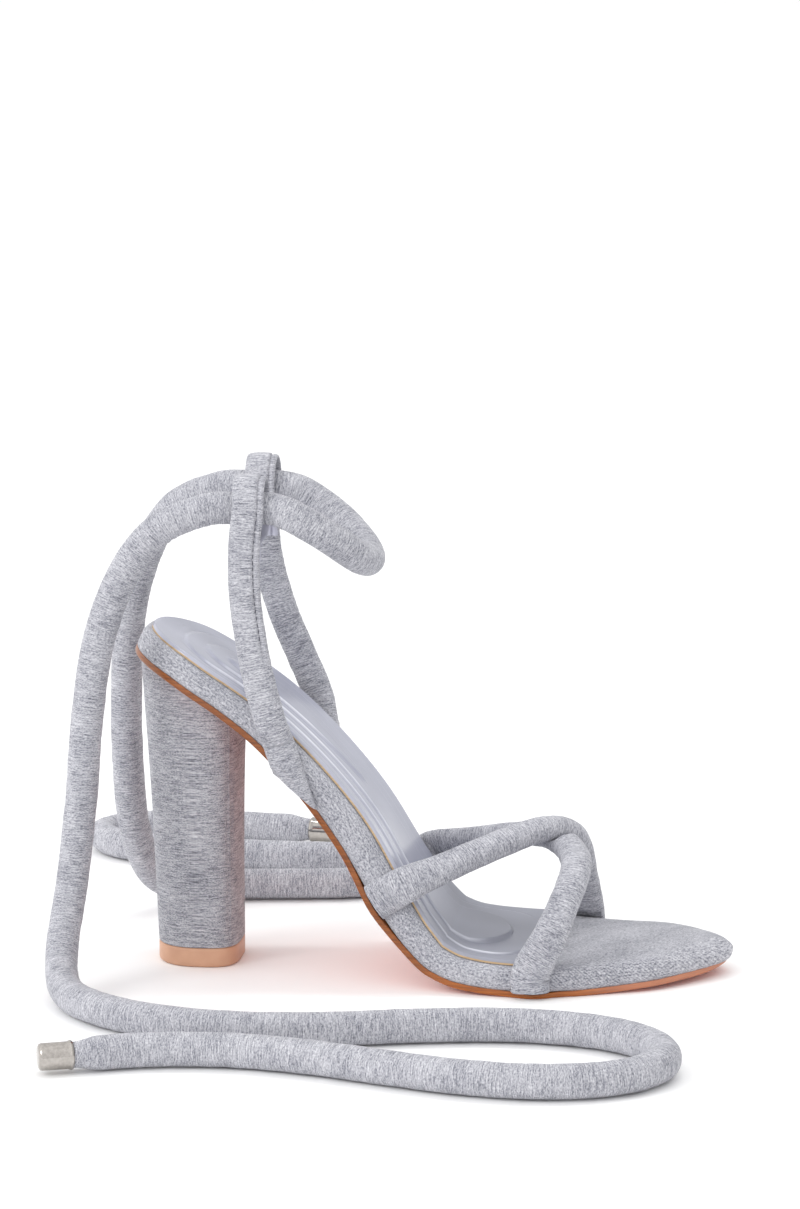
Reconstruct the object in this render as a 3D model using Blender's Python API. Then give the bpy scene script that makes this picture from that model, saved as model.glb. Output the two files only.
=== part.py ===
"""Open-toe sandal for the right foot, on a tall round block heel.

A jersey-wrapped platform is bent along the last, between a thin outsole and a moulded insole.
Two padded straps cross over the toes, two sling straps stand up at the ankle, and one long padded
tie runs through the loops of the sling straps, falls behind the heel and lies loose on the floor.

The toe points to +X, the outer side of the foot is -Y, and +Z is up. Sizes are in millimetres, measured
from the back of the block heel's top, the middle of the heel and the floor. They become metres, centred
on the shoe, where a mesh is made.
"""

import math
from collections import namedtuple

import bmesh
import bpy
from mathutils import Vector

MM = 0.001

# Sizes that drive the rest
SOLE_BACK = -2.0  # the heel seat overhangs the block heel a little
TOE_TIP = 206.0
SHOE_MIDDLE = (102.0, -1.18)  # x and y of the middle of the shoe's own box
GAP = 0.3  # clearance between pieces that meet
OUTSOLE_THICK = 2.2
INSOLE_THICK = 1.7
INSOLE_INSET = 2.2  # from the platform's side to the insole's edge
INSOLE_FRONT = 147.0  # where the insole ends, under the crossed straps
INSOLE_CORNER = 7.5  # length of its rounded front corners
HEEL_TIP_HEIGHT = 7.0
STRAP_WIDTH = 10.4
STRAP_THICK = 8.4
SLING_WIDTH = 10.8
SLING_THICK = 6.0
LOOP_BAND = 2.8  # thickness of the folded end of a sling strap
TIE_DIAMETER = 11.0
FERRULE_DIAMETER = 9.8
FERRULE_LENGTH = 11.5

# The last: one row for each section of the sole, from the heel seat to the toe
Section = namedtuple("Section", "x floor_to_sole middle_y half_width thick")
LAST = [Section(*row) for row in (
    (-2.0, 110.2, 0.0, 26.0, 8.0),
    (12.5, 103.6, 0.0, 27.4, 8.0),
    (22.5, 97.6, 0.0, 27.8, 8.0),
    (33.0, 90.6, -0.2, 27.8, 8.2),
    (43.0, 82.6, -0.4, 27.4, 8.8),
    (59.5, 64.6, -0.6, 27.2, 10.2),
    (72.0, 47.6, -0.8, 27.6, 11.0),
    (85.0, 26.2, -0.8, 29.8, 10.8),
    (95.0, 13.3, -0.6, 32.0, 9.8),
    (104.0, 5.6, -0.6, 34.2, 9.0),
    (115.0, 1.8, -0.6, 36.2, 8.6),
    (128.0, 0.4, -0.4, 37.6, 8.4),
    (138.0, 0.0, -0.2, 37.8, 8.4),
    (154.0, 0.0, 0.6, 34.8, 8.3),
    (166.0, 0.5, 1.2, 30.8, 8.2),
    (178.0, 1.4, 2.0, 26.8, 8.0),
    (192.0, 2.2, 3.8, 21.0, 7.8),
    (206.0, 2.7, 5.6, 16.0, 7.2),
)]
HEEL_ROUND = 25.0  # length of the rounded back of the sole
TOE_ROUND = 30.0  # length of the rounded toe
TOE_POWER = 2.1
END_STEPS = (0.3, 1.2, 3.0, 6.0, 10.0, 15.0)  # stations near each end of the sole
MIDDLE_STEP = 7.6

# Side of the wrapped platform, from its foot to the edge of its top
Rim = namedtuple("Rim", "inset share set_back")  # share of the height; set back at the tip of the toe
RIM = [Rim(*row) for row in (
    (0.5, 0.0, 1.7),
    (0.0, 0.14, 0.7),
    (-0.3, 0.48, 0.0),
    (0.4, 0.76, 1.7),
    (1.7, 0.94, 4.0),
    (3.4, 1.0, 7.0),
)]
RIM_ROOM = 14.0  # half width below which the rim's insets shrink
NOSE_LENGTH = 26.0  # stretch over which the tip of the toe is rounded
OUTSOLE_NOSE = 2.0  # set back of the outsole at the tip of the toe
DISH_DEPTH = 0.9  # hollow of the footbed
TOE_CROWN = 2.0  # swell of the toe, ahead of the insole
TOE_SWELL = (  # x, height of the middle of the footbed above its rim
    (SOLE_BACK, -DISH_DEPTH),
    (INSOLE_FRONT - 8, -DISH_DEPTH),
    (INSOLE_FRONT + 18, TOE_CROWN),
    (TOE_TIP, TOE_CROWN * 0.6),
)
SWELL_END = 10.0  # length over which the footbed flattens at both ends
SEAT_SHARE = 0.55  # how much of the platform's thickness is left at the very back
SEAT_ROLL = 4.0  # length over which the back is rounded
ACROSS = (0.72, 0.36, 0.0, -0.36, -0.72)  # shares of the half width where the footbed has points

# The block heel, from its foot to the heel seat
HeelLevel = namedtuple("HeelLevel", "share back_x breast_x half_width")
HEEL = [HeelLevel(*row) for row in (
    (0.0, 5.4, 34.6, 15.4),
    (0.5, 3.2, 34.6, 16.6),
    (1.0, 0.0, 35.4, 19.2),
)]
HEEL_LEVELS = 6
HEEL_SIDES = 28
BACK_POWER, BREAST_POWER = 2.1, 3.4  # how square the two ends of the heel's section are

# Paths of the crossed straps between their two feet on the sole, outer side first: x, y, z
OVER_STRAP = (
    (97.0, -31.0, 36.6),
    (107.5, -24.5, 40.4),
    (120.0, -15.5, 44.6),
    (132.0, -6.0, 48.2),
    (141.2, 3.0, 49.4),
    (147.2, 12.0, 46.4),
    (150.2, 21.5, 38.2),
    (151.2, 29.0, 26.0),
)
OVER_STRAP_FEET = (83.6, 152.0)  # x of the outer foot and of the inner one
UNDER_STRAP = (
    (145.9, -37.3, 20.5),
    (150.4, -30.0, 31.0),
    (153.0, -18.0, 39.0),
    (151.6, -6.5, 42.4),
    (144.5, 5.5, 45.0),
    (133.0, 15.0, 44.3),
    (112.5, 27.0, 38.4),
    (97.5, 32.6, 34.0),
)
UNDER_STRAP_FEET = (140.2, 86.5)
STRAP_FOOT_WIDTH = 13.0
STRAP_FOOT_THICK = 7.4  # before the sole's side is cut out of it
STRAP_FOOT_RISES = (2.9, 9.0)  # two points of a foot above the underside of the sole
STRAP_SHARES = (0.0, 0.10, 0.24, 0.76, 0.90, 1.0)  # foot, foot, strap, strap, foot, foot
FOOT_OUT = 0.4  # from the sole's side to the middle of a foot, before the cut
STRAP_RINGS = 30
TUBE_SIDES = 14
TUBE_POWER = 2.3

# Sling straps: lower and upper x of the foot, then the path above it, with y counted to the strap's own side
SLING_OUTER_FEET = (54.0, 47.6)
SLING_OUTER = (
    (50.8, 32.6, 91.0),
    (47.3, 32.8, 103.5),
    (44.2, 32.2, 118.0),
    (42.0, 31.4, 133.0),
    (41.3, 30.4, 146.0),
    (41.8, 30.4, 155.0),
    (42.8, 31.0, 163.5),
)
SLING_INNER_FEET = (60.6, 54.0)
SLING_INNER = (
    (56.4, 33.0, 88.0),
    (51.0, 33.0, 101.0),
    (44.4, 32.4, 117.0),
    (39.8, 31.4, 133.0),
    (38.0, 30.4, 146.0),
    (38.0, 30.4, 155.0),
    (38.8, 31.0, 163.5),
)
SLING_FOOT_RISES = (3.0, 7.5)
SLING_FOOT_OUT = 1.8  # from the sole's side to the middle of a sling strap's foot
SLING_WRAP = 0.6  # how far the middle of the foot reaches below the outsole
SLING_LEAN = 0.2  # slope of the foot's end against the sole: lower at the back
FOOT_TAIL = 16.0  # length trimmed off below that
SlingSize = namedtuple("SlingSize", "share width thick")
SLING_SIZES = [SlingSize(*row) for row in (
    (0.0, SLING_WIDTH, SLING_THICK + 0.6),
    (0.15, SLING_WIDTH, SLING_THICK + 0.6),
    (0.35, SLING_WIDTH, SLING_THICK),
    (0.84, SLING_WIDTH, SLING_THICK - 0.6),
    (1.0, SLING_WIDTH, LOOP_BAND),
)]
SLING_FACE = 0.15  # how much the straps' outer faces look up
SLING_RINGS = 24
LOOP_HEIGHT = 10.5  # half height of the loop's middle line
LOOP_STEPS = 24
EYE_CLEARANCE = 0.5  # around the tie
LOOP_REACH = TIE_DIAMETER / 2 + EYE_CLEARANCE + LOOP_BAND / 2  # half width of that line

# Route of the tie from each loop to its metal end: hand-placed points, y counted to the strap's own side
TIE_REST = 5.8  # height of its middle where it lies on the floor
TIE_OUTER = (
    (27.0, 25.4, 162.8),
    (12.0, 28.2, 156.4),
    (0.5, 31.0, 142.0),
    (-8.0, 34.0, 119.0),
    (-12.0, 36.0, 92.0),
    (-14.0, 38.0, 64.0),
    (-16.5, 42.5, 37.0),
    (-18.0, 53.0, 16.5),
    (-13.5, 70.0, 6.6),
    (0.0, 88.0, TIE_REST),
    (22.0, 101.0, TIE_REST),
    (50.0, 106.0, TIE_REST),
    (80.0, 103.0, TIE_REST),
    (110.0, 95.0, TIE_REST),
    (140.0, 90.0, TIE_REST),
    (168.0, 94.0, TIE_REST),
    (187.0, 107.0, TIE_REST),
    (192.0, 126.0, TIE_REST),
    (180.0, 143.0, TIE_REST),
    (158.0, 151.0, TIE_REST),
    (132.0, 150.0, TIE_REST),
    (106.0, 143.0, TIE_REST),
    (80.0, 135.0, TIE_REST),
    (54.0, 131.0, TIE_REST),
    (28.0, 134.0, TIE_REST),
    (5.0, 143.0, TIE_REST),
)
TIE_INNER = (
    (23.0, 25.4, 162.4),
    (8.0, 28.4, 155.6),
    (-3.0, 31.6, 141.0),
    (-10.5, 34.0, 118.0),
    (-13.0, 36.0, 91.0),
    (-13.5, 38.5, 63.0),
    (-12.5, 44.0, 36.0),
    (-8.0, 55.0, 15.5),
    (3.0, 70.0, 6.4),
    (20.0, 79.0, TIE_REST),
    (42.0, 83.0, TIE_REST),
    (60.0, 87.0, TIE_REST),
    (72.0, 95.0, TIE_REST),
    (75.5, 106.0, TIE_REST),
    (69.0, 117.0, TIE_REST),
    (53.0, 123.0, TIE_REST),
    (30.0, 124.0, TIE_REST),
    (6.0, 124.0, TIE_REST),
    (-18.0, 127.0, TIE_REST),
    (-38.0, 135.0, TIE_REST),
    (-46.0, 149.0, TIE_REST),
    (-37.0, 162.0, TIE_REST),
    (-16.0, 168.0, TIE_REST),
    (8.0, 168.0, TIE_REST),
    (32.0, 166.0, TIE_REST),
)
# The stretch between the two loops, which sags in front of the ankle; y counts to the inner side here
TIE_MIDDLE = (
    (57.5, -24.0, 161.0),
    (69.0, -20.6, 153.5),
    (77.0, -12.0, 146.0),
    (79.5, 0.0, 143.0),
    (75.5, 12.0, 146.0),
    (66.0, 20.6, 153.5),
    (54.0, 24.0, 161.0),
)
TIE_STEP = 1.6  # spacing of the tie's rings, in diameters
TIE_LEAD = 7.0  # straight stretch within a loop

# Finishes: colour, roughness, metallic
JERSEY = ((0.36, 0.37, 0.41), 0.92, 0.0)
INSOLE_SKIN = ((0.50, 0.51, 0.57), 0.45, 0.0)
OUTSOLE_TAN = ((0.46, 0.20, 0.08), 0.45, 0.0)
TIP_TAN = ((0.62, 0.37, 0.23), 0.40, 0.0)
NICKEL = ((0.78, 0.74, 0.70), 0.16, 1.0)


def column(table, name):
    return [getattr(row, name) for row in table]


def ease(x, start, end):
    """0 before start, 1 after end, smooth between."""
    t = max(0.0, min(1.0, (x - start) / (end - start)))
    return t * t * (3 - 2 * t)


def smooth_curve(knots, values):
    """A smooth function through the knots that never overshoots them."""
    steps = [b - a for a, b in zip(knots, knots[1:])]
    rises = [(b - a) / h for a, b, h in zip(values, values[1:], steps)]
    slopes = [rises[0]]
    for i in range(1, len(rises)):
        before, after = rises[i - 1], rises[i]
        if before * after <= 0:
            slopes.append(0.0)
            continue
        left, right = 2 * steps[i] + steps[i - 1], steps[i] + 2 * steps[i - 1]
        slopes.append((left + right) / (left / before + right / after))
    slopes.append(rises[-1])

    def at(x):
        i = max(0, min(len(steps) - 1, sum(x >= k for k in knots) - 1))
        t = (x - knots[i]) / steps[i]
        start = values[i] * (1 + 2 * t) * (1 - t) ** 2 + values[i + 1] * t * t * (3 - 2 * t)
        turn = slopes[i] * t * (1 - t) ** 2 - slopes[i + 1] * t * t * (1 - t)
        return start + steps[i] * turn

    return at


LAST_X = column(LAST, "x")
sole_height = smooth_curve(LAST_X, column(LAST, "floor_to_sole"))
sole_middle = smooth_curve(LAST_X, column(LAST, "middle_y"))
sole_half = smooth_curve(LAST_X, column(LAST, "half_width"))
rim_thick = smooth_curve(LAST_X, column(LAST, "thick"))
toe_swell = smooth_curve(*zip(*TOE_SWELL))


def end_round(distance, length, power):
    """Share of the full width at a distance from a rounded end."""
    if distance >= length:
        return 1.0
    return (1 - (1 - max(distance, 0.0) / length) ** power) ** (1 / power)


def outline(x, inset=0.0, front=TOE_TIP, front_round=TOE_ROUND):
    """(middle, half width) of the sole's outline at x, taken in by inset all round and ended at front."""
    half = sole_half(x) - inset
    half *= end_round(x - SOLE_BACK - inset, HEEL_ROUND - inset, 2.0)
    half *= end_round(front - x, front_round, TOE_POWER)
    return sole_middle(x), half


def from_end(x):
    """Distance to the nearer end of the sole."""
    return min(x - SOLE_BACK, TOE_TIP - x)


def sole_normal(x):
    """Unit vector out of the top of the sole, in the XZ plane."""
    span = 0.5
    low, high = max(SOLE_BACK, x - span), min(TOE_TIP, x + span)
    slope = (sole_height(high) - sole_height(low)) / (high - low)
    return Vector((-slope, 0.0, 1.0)).normalized()


def on_sole(x, y, rise):
    """The point at y, that far above the sole's underside at station x."""
    return Vector((x, y, sole_height(x))) + sole_normal(x) * rise


def platform_thick(x):
    """Thickness of the platform at its rim, rounded over at the back."""
    return rim_thick(x) * (SEAT_SHARE + (1 - SEAT_SHARE) * end_round(x - SOLE_BACK, SEAT_ROLL, 2.0))


def nose_back(x, set_back):
    """How far a point of the sole moves back to round the tip of the toe."""
    return Vector((set_back * ease(x, TOE_TIP - NOSE_LENGTH, TOE_TIP), 0.0, 0.0))


def footbed_rise(x, share):
    """Height of the footbed above its rim at a share of the half width: a dish that swells into the toe."""
    return toe_swell(x) * (1 - share * share) * min(1.0, from_end(x) / SWELL_END)


def stations(start, end, near_ends):
    """Places along the sole: close together at the ends, then evenly spaced."""
    first, last = start + near_ends[-1], end - near_ends[-1]
    count = round((last - first) / MIDDLE_STEP)
    middle = [first + (last - first) * i / count for i in range(1, count)]
    return [start + d for d in near_ends] + middle + [end - d for d in reversed(near_ends)]


def sole_stations():
    return stations(SOLE_BACK, TOE_TIP, END_STEPS)


def insole_stations():
    """The sole's own stations within the insole, so that both bend along the same facets."""
    back = SOLE_BACK + INSOLE_INSET
    inside = [x for x in sole_stations() if back + 0.9 < x < INSOLE_FRONT - 5.0]
    return [back + 0.3] + inside + [INSOLE_FRONT - 3.0, INSOLE_FRONT - 1.0, INSOLE_FRONT - 0.3]


def in_frame(point):
    """A shoe point in millimetres as a point of the part's frame in metres."""
    return Vector((point.x - SHOE_MIDDLE[0], point.y - SHOE_MIDDLE[1], point.z)) * MM


def finish_material(name, finish):
    material = bpy.data.materials.get(name) or bpy.data.materials.new(name)
    material.use_nodes = True
    shader = material.node_tree.nodes["Principled BSDF"]
    colour, roughness, metallic = finish
    shader.inputs["Base Color"].default_value = (*colour, 1.0)
    shader.inputs["Roughness"].default_value = roughness
    shader.inputs["Metallic"].default_value = metallic
    material.diffuse_color = (*colour, 1.0)
    return material


def place(name, data, material, finish):
    piece = bpy.data.objects.new(name, data)
    bpy.context.scene.collection.objects.link(piece)
    data.materials.append(finish_material(material, finish))
    piece.parent = shoe
    return piece


def loft(name, rings, material, finish, strip_caps=False, closed=False, trim=None):
    """A closed solid through rings of points.

    Strip caps join each end ring across, so that a bent end stays bent. trim is a point and a direction:
    what lies beyond the point that way is cut off.
    """
    bm = bmesh.new()
    rows = [[bm.verts.new(in_frame(p)) for p in ring] for ring in rings]
    count = len(rows[0])
    for i in range(len(rows) if closed else len(rows) - 1):
        near, far = rows[i], rows[(i + 1) % len(rows)]
        for j in range(count):
            bm.faces.new((near[j], near[(j + 1) % count], far[(j + 1) % count], far[j]))
    for row in () if closed else (rows[0], rows[-1]):
        if not strip_caps:
            bm.faces.new(row)
            continue
        for j in range(count // 2):
            corners = (row[j], row[j + 1], row[count - j - 1], row[(count - j) % count])
            bm.faces.new(list(dict.fromkeys(corners)))
    if trim:
        whole = [*bm.verts, *bm.edges, *bm.faces]
        at, beyond = in_frame(trim[0]), trim[1]
        bmesh.ops.bisect_plane(bm, geom=whole, plane_co=at, plane_no=beyond, clear_outer=True)
        bmesh.ops.holes_fill(bm, edges=[e for e in bm.edges if e.is_boundary], sides=0)
    bmesh.ops.recalc_face_normals(bm, faces=bm.faces)
    if bm.calc_volume(signed=True) < 0:
        bmesh.ops.reverse_faces(bm, faces=bm.faces)
    mesh = bpy.data.meshes.new(name)
    bm.to_mesh(mesh)
    bm.free()
    mesh.shade_smooth()
    mesh.set_sharp_from_angle(angle=math.radians(40))
    return place(name, mesh, material, finish)


def as_helper(piece):
    """Keeps a cutter or a joined shape out of the finished object."""
    piece.hide_render = True
    piece.display_type = "WIRE"
    return piece


def combine(piece, other, operation):
    step = piece.modifiers.new(operation.lower(), "BOOLEAN")
    step.operation = operation
    step.object = as_helper(other)


def make_outsole():
    """Thin tan sheet under the whole length, with softened lower edges."""
    edge, top = 0.5, OUTSOLE_THICK - GAP
    rings = []
    for x in sole_stations():
        middle, half = outline(x)
        inner = ((half - edge, 0.0), (half, edge), (half, top))
        ring = [*inner, *[(-y, rise) for y, rise in reversed(inner)]]
        rings.append([on_sole(x, middle + y, rise) - nose_back(x, OUTSOLE_NOSE) for y, rise in ring])
    loft("outsole", rings, "outsole_tan", OUTSOLE_TAN)


def platform_ring(x, grow=0.0):
    """Points of the wrapped platform at station x, from its outer side over the top to its inner side."""
    middle, half = outline(x)
    thick = platform_thick(x)
    fit = min(1.0, half / RIM_ROOM)
    side = [(half - row.inset * fit + grow, OUTSOLE_THICK + thick * row.share, row.set_back) for row in RIM]
    edge, high, set_back = side[-1]
    top = [(-edge * share, high + footbed_rise(x, share), set_back) for share in ACROSS]
    ring = [*[(-y, rise, back) for y, rise, back in side], *top, *reversed(side)]
    return [on_sole(x, middle + y, rise + grow) - nose_back(x, back) for y, rise, back in ring]


def make_platform():
    """Foam and board core wrapped in jersey: the visible side of the sole and the covered toe."""
    rings = []
    for x in sole_stations():
        ring = platform_ring(x)
        top = len(ring) // 2
        rings.append([*ring[top:], *ring[:top]])
    loft("platform", rings, "jersey", JERSEY, strip_caps=True)


def insole_ring(x, grow=0.0):
    """Points of the insole at station x: its underside from outer to inner edge, then its top back."""
    middle, half = outline(x, INSOLE_INSET, INSOLE_FRONT, INSOLE_CORNER)
    wide = outline(x)[1]
    base = OUTSOLE_THICK + platform_thick(x) + GAP
    softened = min(1.2, half * 0.3)
    lower, upper = [], []
    for share in (-1.0, *reversed(ACROSS), 1.0):
        y, rise = share * half, base + footbed_rise(x, share * half / wide)
        lower.append((y + share * grow, rise - grow))
        edge = softened * (abs(share) == 1.0)
        upper.append((y + share * (grow - edge), rise + INSOLE_THICK + grow))
    sides = [(y, rise + INSOLE_THICK * 0.55 + grow) for y, rise in (lower[-1], lower[0])]
    ring = [*lower, sides[0], *reversed(upper), sides[1]]
    return [on_sole(x, middle + y, rise) for y, rise in ring]


def make_insole():
    """Moulded footbed that lies on the platform, from the heel seat to the crossed straps."""
    loft("insole", [insole_ring(x) for x in insole_stations()], "insole_skin", INSOLE_SKIN)


def heel_outline(back, breast, half):
    """Plan of the block heel: round at the back, squarer at the breast. The list starts at the breast."""
    middle, reach = (back + breast) / 2, (breast - back) / 2
    points = []
    for i in range(HEEL_SIDES):
        turn = 2 * math.pi * i / HEEL_SIDES
        along, across = math.cos(turn), math.sin(turn)
        power = 2 / (BREAST_POWER if along > 0 else BACK_POWER)
        x = middle + reach * math.copysign(abs(along) ** power, along)
        points.append((x, half * math.copysign(abs(across) ** power, across)))
    return points


def heel_size(share):
    """(back x, breast x, half width) of the block heel at a share of its height."""
    shares = column(HEEL, "share")
    return [smooth_curve(shares, column(HEEL, name))(share) for name in HeelLevel._fields[1:]]


def make_heel():
    """Jersey-covered block whose top follows the heel seat."""
    foot = HEEL_TIP_HEIGHT + GAP
    rings = []
    for level in range(HEEL_LEVELS):
        share = level / (HEEL_LEVELS - 1)
        ring = []
        for x, y in heel_outline(*heel_size(share)):
            seat = sole_height(x) - GAP / sole_normal(x).z
            ring.append(Vector((x, y, foot + (seat - foot) * share)))
        rings.append(ring)
    loft("block_heel", rings, "jersey", JERSEY, strip_caps=True)


def make_heel_tip():
    """Tan top piece under the heel, with a softened lower edge."""
    back, breast, half = heel_size(0.0)
    edge = 0.8
    levels = ((0.0, edge), (edge, 0.2), (HEEL_TIP_HEIGHT, 0.2))
    rings = []
    for rise, inset in levels:
        plan = heel_outline(back + inset, breast - inset, half - inset)
        rings.append([Vector((x, y, rise)) for x, y in plan])
    loft("heel_tip", rings, "tip_tan", TIP_TAN)


def cut_by_sole(piece):
    """Takes the sole and the insole, grown by the gap, out of a strap, so that its feet lie close to them."""
    sole = []
    for x in sole_stations():
        middle, half = outline(x)
        reach = half + GAP
        outer = [on_sole(x, middle - reach, rise) for rise in (-FOOT_TAIL / 4, OUTSOLE_THICK)]
        inner = [on_sole(x, middle + reach, rise) for rise in (OUTSOLE_THICK, -FOOT_TAIL / 4)]
        sole.append([*outer, *platform_ring(x, GAP), *inner])
    bed = [insole_ring(x, GAP * 2) for x in insole_stations()]
    combine(piece, loft(piece.name + "_sole_shape", sole, "jersey", JERSEY), "DIFFERENCE")
    combine(piece, loft(piece.name + "_insole_shape", bed, "jersey", JERSEY), "DIFFERENCE")


def smooth_path(points, count):
    """Points spaced evenly along a smooth line through the given ones."""
    points = [Vector(p) for p in points]
    ends = [points[0] * 2 - points[1]] + points + [points[-1] * 2 - points[-2]]
    fine = []
    for before, start, end, after in zip(ends, ends[1:], ends[2:], ends[3:]):
        for step in range(16):
            t = step / 16
            square = 2 * before - 5 * start + 4 * end - after
            cube = 3 * start - before - 3 * end + after
            fine.append(start + (end - before) * (t / 2) + (square * t * t + cube * t**3) / 2)
    fine.append(points[-1])
    along = [0.0]
    for a, b in zip(fine, fine[1:]):
        along.append(along[-1] + (b - a).length)
    spaced, i = [], 0
    for n in range(count):
        goal = along[-1] * n / (count - 1)
        while i < len(fine) - 2 and along[i + 1] < goal:
            i += 1
        share = (goal - along[i]) / (along[i + 1] - along[i])
        spaced.append(fine[i].lerp(fine[i + 1], min(share, 1.0)))
    return spaced


def rounded_section(centre, wide, thick, width, thickness):
    """Ring of a padded strap: a soft oval between its two directions."""
    ring = []
    for i in range(TUBE_SIDES):
        turn = 2 * math.pi * (i + 0.5) / TUBE_SIDES
        across, up = math.cos(turn), math.sin(turn)
        across = math.copysign(abs(across) ** (2 / TUBE_POWER), across)
        up = math.copysign(abs(up) ** (2 / TUBE_POWER), up)
        ring.append(centre + wide * (across * width / 2) + thick * (up * thickness / 2))
    return ring


def strap_rings(path, outward, width_at, thick_at):
    """Rings along a path. outward gives the direction that the strap's face looks in at a point."""
    rings = []
    for i, centre in enumerate(path):
        share = i / (len(path) - 1)
        tangent = (path[min(i + 1, len(path) - 1)] - path[max(i - 1, 0)]).normalized()
        face = outward(centre)
        face = (face - tangent * face.dot(tangent)).normalized()
        rings.append(rounded_section(centre, tangent.cross(face), face, width_at(share), thick_at(share)))
    return rings


def strap_foot(feet, rises, side, out):
    """Two points of a strap's foot, out from the sole's side, lower one first. side is -1 outer, 1 inner."""
    points = []
    for x, rise in zip(feet, rises):
        middle, half = outline(x)
        points.append(on_sole(x, middle + side * (half + out), rise))
    return points


def out_of_foot(point):
    """Away from a line along the middle of the foot, for the face of a strap over the toes."""
    core = sole_height(point.x) + OUTSOLE_THICK + rim_thick(point.x)
    return Vector((0.0, point.y, max(point.z - core, 0.0) + 2.0)).normalized()


def foot_to_foot(foot, strap):
    """A size along a strap over the toes: one value at both feet and another between them."""
    return smooth_curve(STRAP_SHARES, (foot, foot, strap, strap, foot, foot))


def toe_strap(name, path, feet):
    outer = strap_foot((feet[0], feet[0]), STRAP_FOOT_RISES, -1, FOOT_OUT)
    inner = strap_foot((feet[1], feet[1]), STRAP_FOOT_RISES, 1, FOOT_OUT)
    line = smooth_path([*outer, *path, *reversed(inner)], STRAP_RINGS)
    width = foot_to_foot(STRAP_FOOT_WIDTH, STRAP_WIDTH)
    thick = foot_to_foot(STRAP_FOOT_THICK, STRAP_THICK)
    return loft(name, strap_rings(line, out_of_foot, width, thick), "jersey", JERSEY)


def make_toe_straps():
    """The upper over the toes: two padded straps, joined where the one crosses the other."""
    straps = toe_strap("toe_straps", OVER_STRAP, OVER_STRAP_FEET)
    combine(straps, toe_strap("under_strap_shape", UNDER_STRAP, UNDER_STRAP_FEET), "UNION")
    cut_by_sole(straps)


def loop_middle(path, side):
    """Place of the tie's axis in the loop at the end of a sling strap."""
    x, y, z = path[-1]
    return Vector((x, side * (y - LOOP_REACH), z))


def make_sling_strap(name, feet, path, side):
    """One padded strap up the side of the ankle, its end folded over into a loop for the tie."""
    lower, upper = strap_foot(feet, SLING_FOOT_RISES, side, SLING_FOOT_OUT)
    below = lower + (lower - upper).normalized() * FOOT_TAIL
    line = smooth_path([below, lower, upper, *[(x, side * y, z) for x, y, z in path]], SLING_RINGS)
    shares = column(SLING_SIZES, "share")
    width, thick = (smooth_curve(shares, column(SLING_SIZES, name)) for name in ("width", "thick"))
    rings = strap_rings(line, lambda point: Vector((0.0, side, SLING_FACE)), width, thick)
    down = -sole_normal(feet[0])
    forward = Vector((-down.z, 0.0, down.x))
    end = (on_sole(feet[0], 0.0, -SLING_WRAP), (down + forward * SLING_LEAN).normalized())
    strap = loft(name, rings, "jersey", JERSEY, trim=end)
    centre = loop_middle(path, side)
    band = []
    for i in range(LOOP_STEPS):
        turn = 2 * math.pi * i / LOOP_STEPS
        face = Vector((0.0, math.cos(turn) * LOOP_HEIGHT, math.sin(turn) * LOOP_REACH)).normalized()
        middle = centre + Vector((0.0, math.cos(turn) * LOOP_REACH, math.sin(turn) * LOOP_HEIGHT))
        band.append(rounded_section(middle, Vector((1.0, 0.0, 0.0)), face, SLING_WIDTH, LOOP_BAND))
    combine(strap, loft(name + "_loop_shape", band, "jersey", JERSEY, closed=True), "UNION")
    cut_by_sole(strap)


def make_cord(name, start, path, end=()):
    """A length of the padded tie, straight from its start to the path and from the path to any end."""
    length = sum((b - a).length for a, b in zip(path, path[1:]))
    count = max(4, round(length / (TIE_STEP * TIE_DIAMETER)) + 1)
    points = [start, *smooth_path(path, count), *end]
    curve = bpy.data.curves.new(name, "CURVE")
    curve.dimensions = "3D"
    curve.bevel_depth = TIE_DIAMETER / 2 * MM
    curve.bevel_resolution = 3
    curve.use_fill_caps = True
    spline = curve.splines.new("POLY")
    spline.points.add(len(points) - 1)
    for place_of, point in zip(spline.points, points):
        place_of.co = (*in_frame(point), 1.0)
    place(name, curve, "jersey", JERSEY)
    return points


def make_ferrule(name, before, end):
    """Polished metal end, a short turned cup in line with the end of the tie."""
    axis = (end - before).normalized()
    wide = axis.cross(Vector((0.0, 0.0, 1.0))).normalized()
    thick = wide.cross(axis)
    radius, lip = FERRULE_DIAMETER / 2, 0.5
    tip = FERRULE_LENGTH
    levels = ((GAP, radius - lip), (GAP + lip, radius), (tip - lip, radius), (tip, radius - lip))
    rings = []
    for along, reach in levels:
        turns = [2 * math.pi * (i + 0.5) / TUBE_SIDES for i in range(TUBE_SIDES)]
        spokes = [wide * math.cos(turn) + thick * math.sin(turn) for turn in turns]
        rings.append([end + axis * along + spoke * reach for spoke in spokes])
    loft(name, rings, "nickel", NICKEL)


def make_tie():
    """The long ankle tie: a sagging middle between the loops, and two free ends laid on the floor."""
    outer, inner = loop_middle(SLING_OUTER, -1), loop_middle(SLING_INNER, 1)
    half_gap, lead = Vector((GAP / 2, 0.0, 0.0)), Vector((TIE_LEAD, 0.0, 0.0))
    sag = [outer + lead, *map(Vector, TIE_MIDDLE), inner + lead]
    make_cord("ankle_tie_middle", outer + half_gap, sag, [inner + half_gap])
    for side, start, route, name in ((-1, outer, TIE_OUTER, "outer"), (1, inner, TIE_INNER, "inner")):
        path = [start - lead, *[Vector((x, side * y, z)) for x, y, z in route]]
        points = make_cord(f"ankle_tie_{name}", start - half_gap, path)
        make_ferrule(f"tie_ferrule_{name}", points[-2], points[-1])


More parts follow.
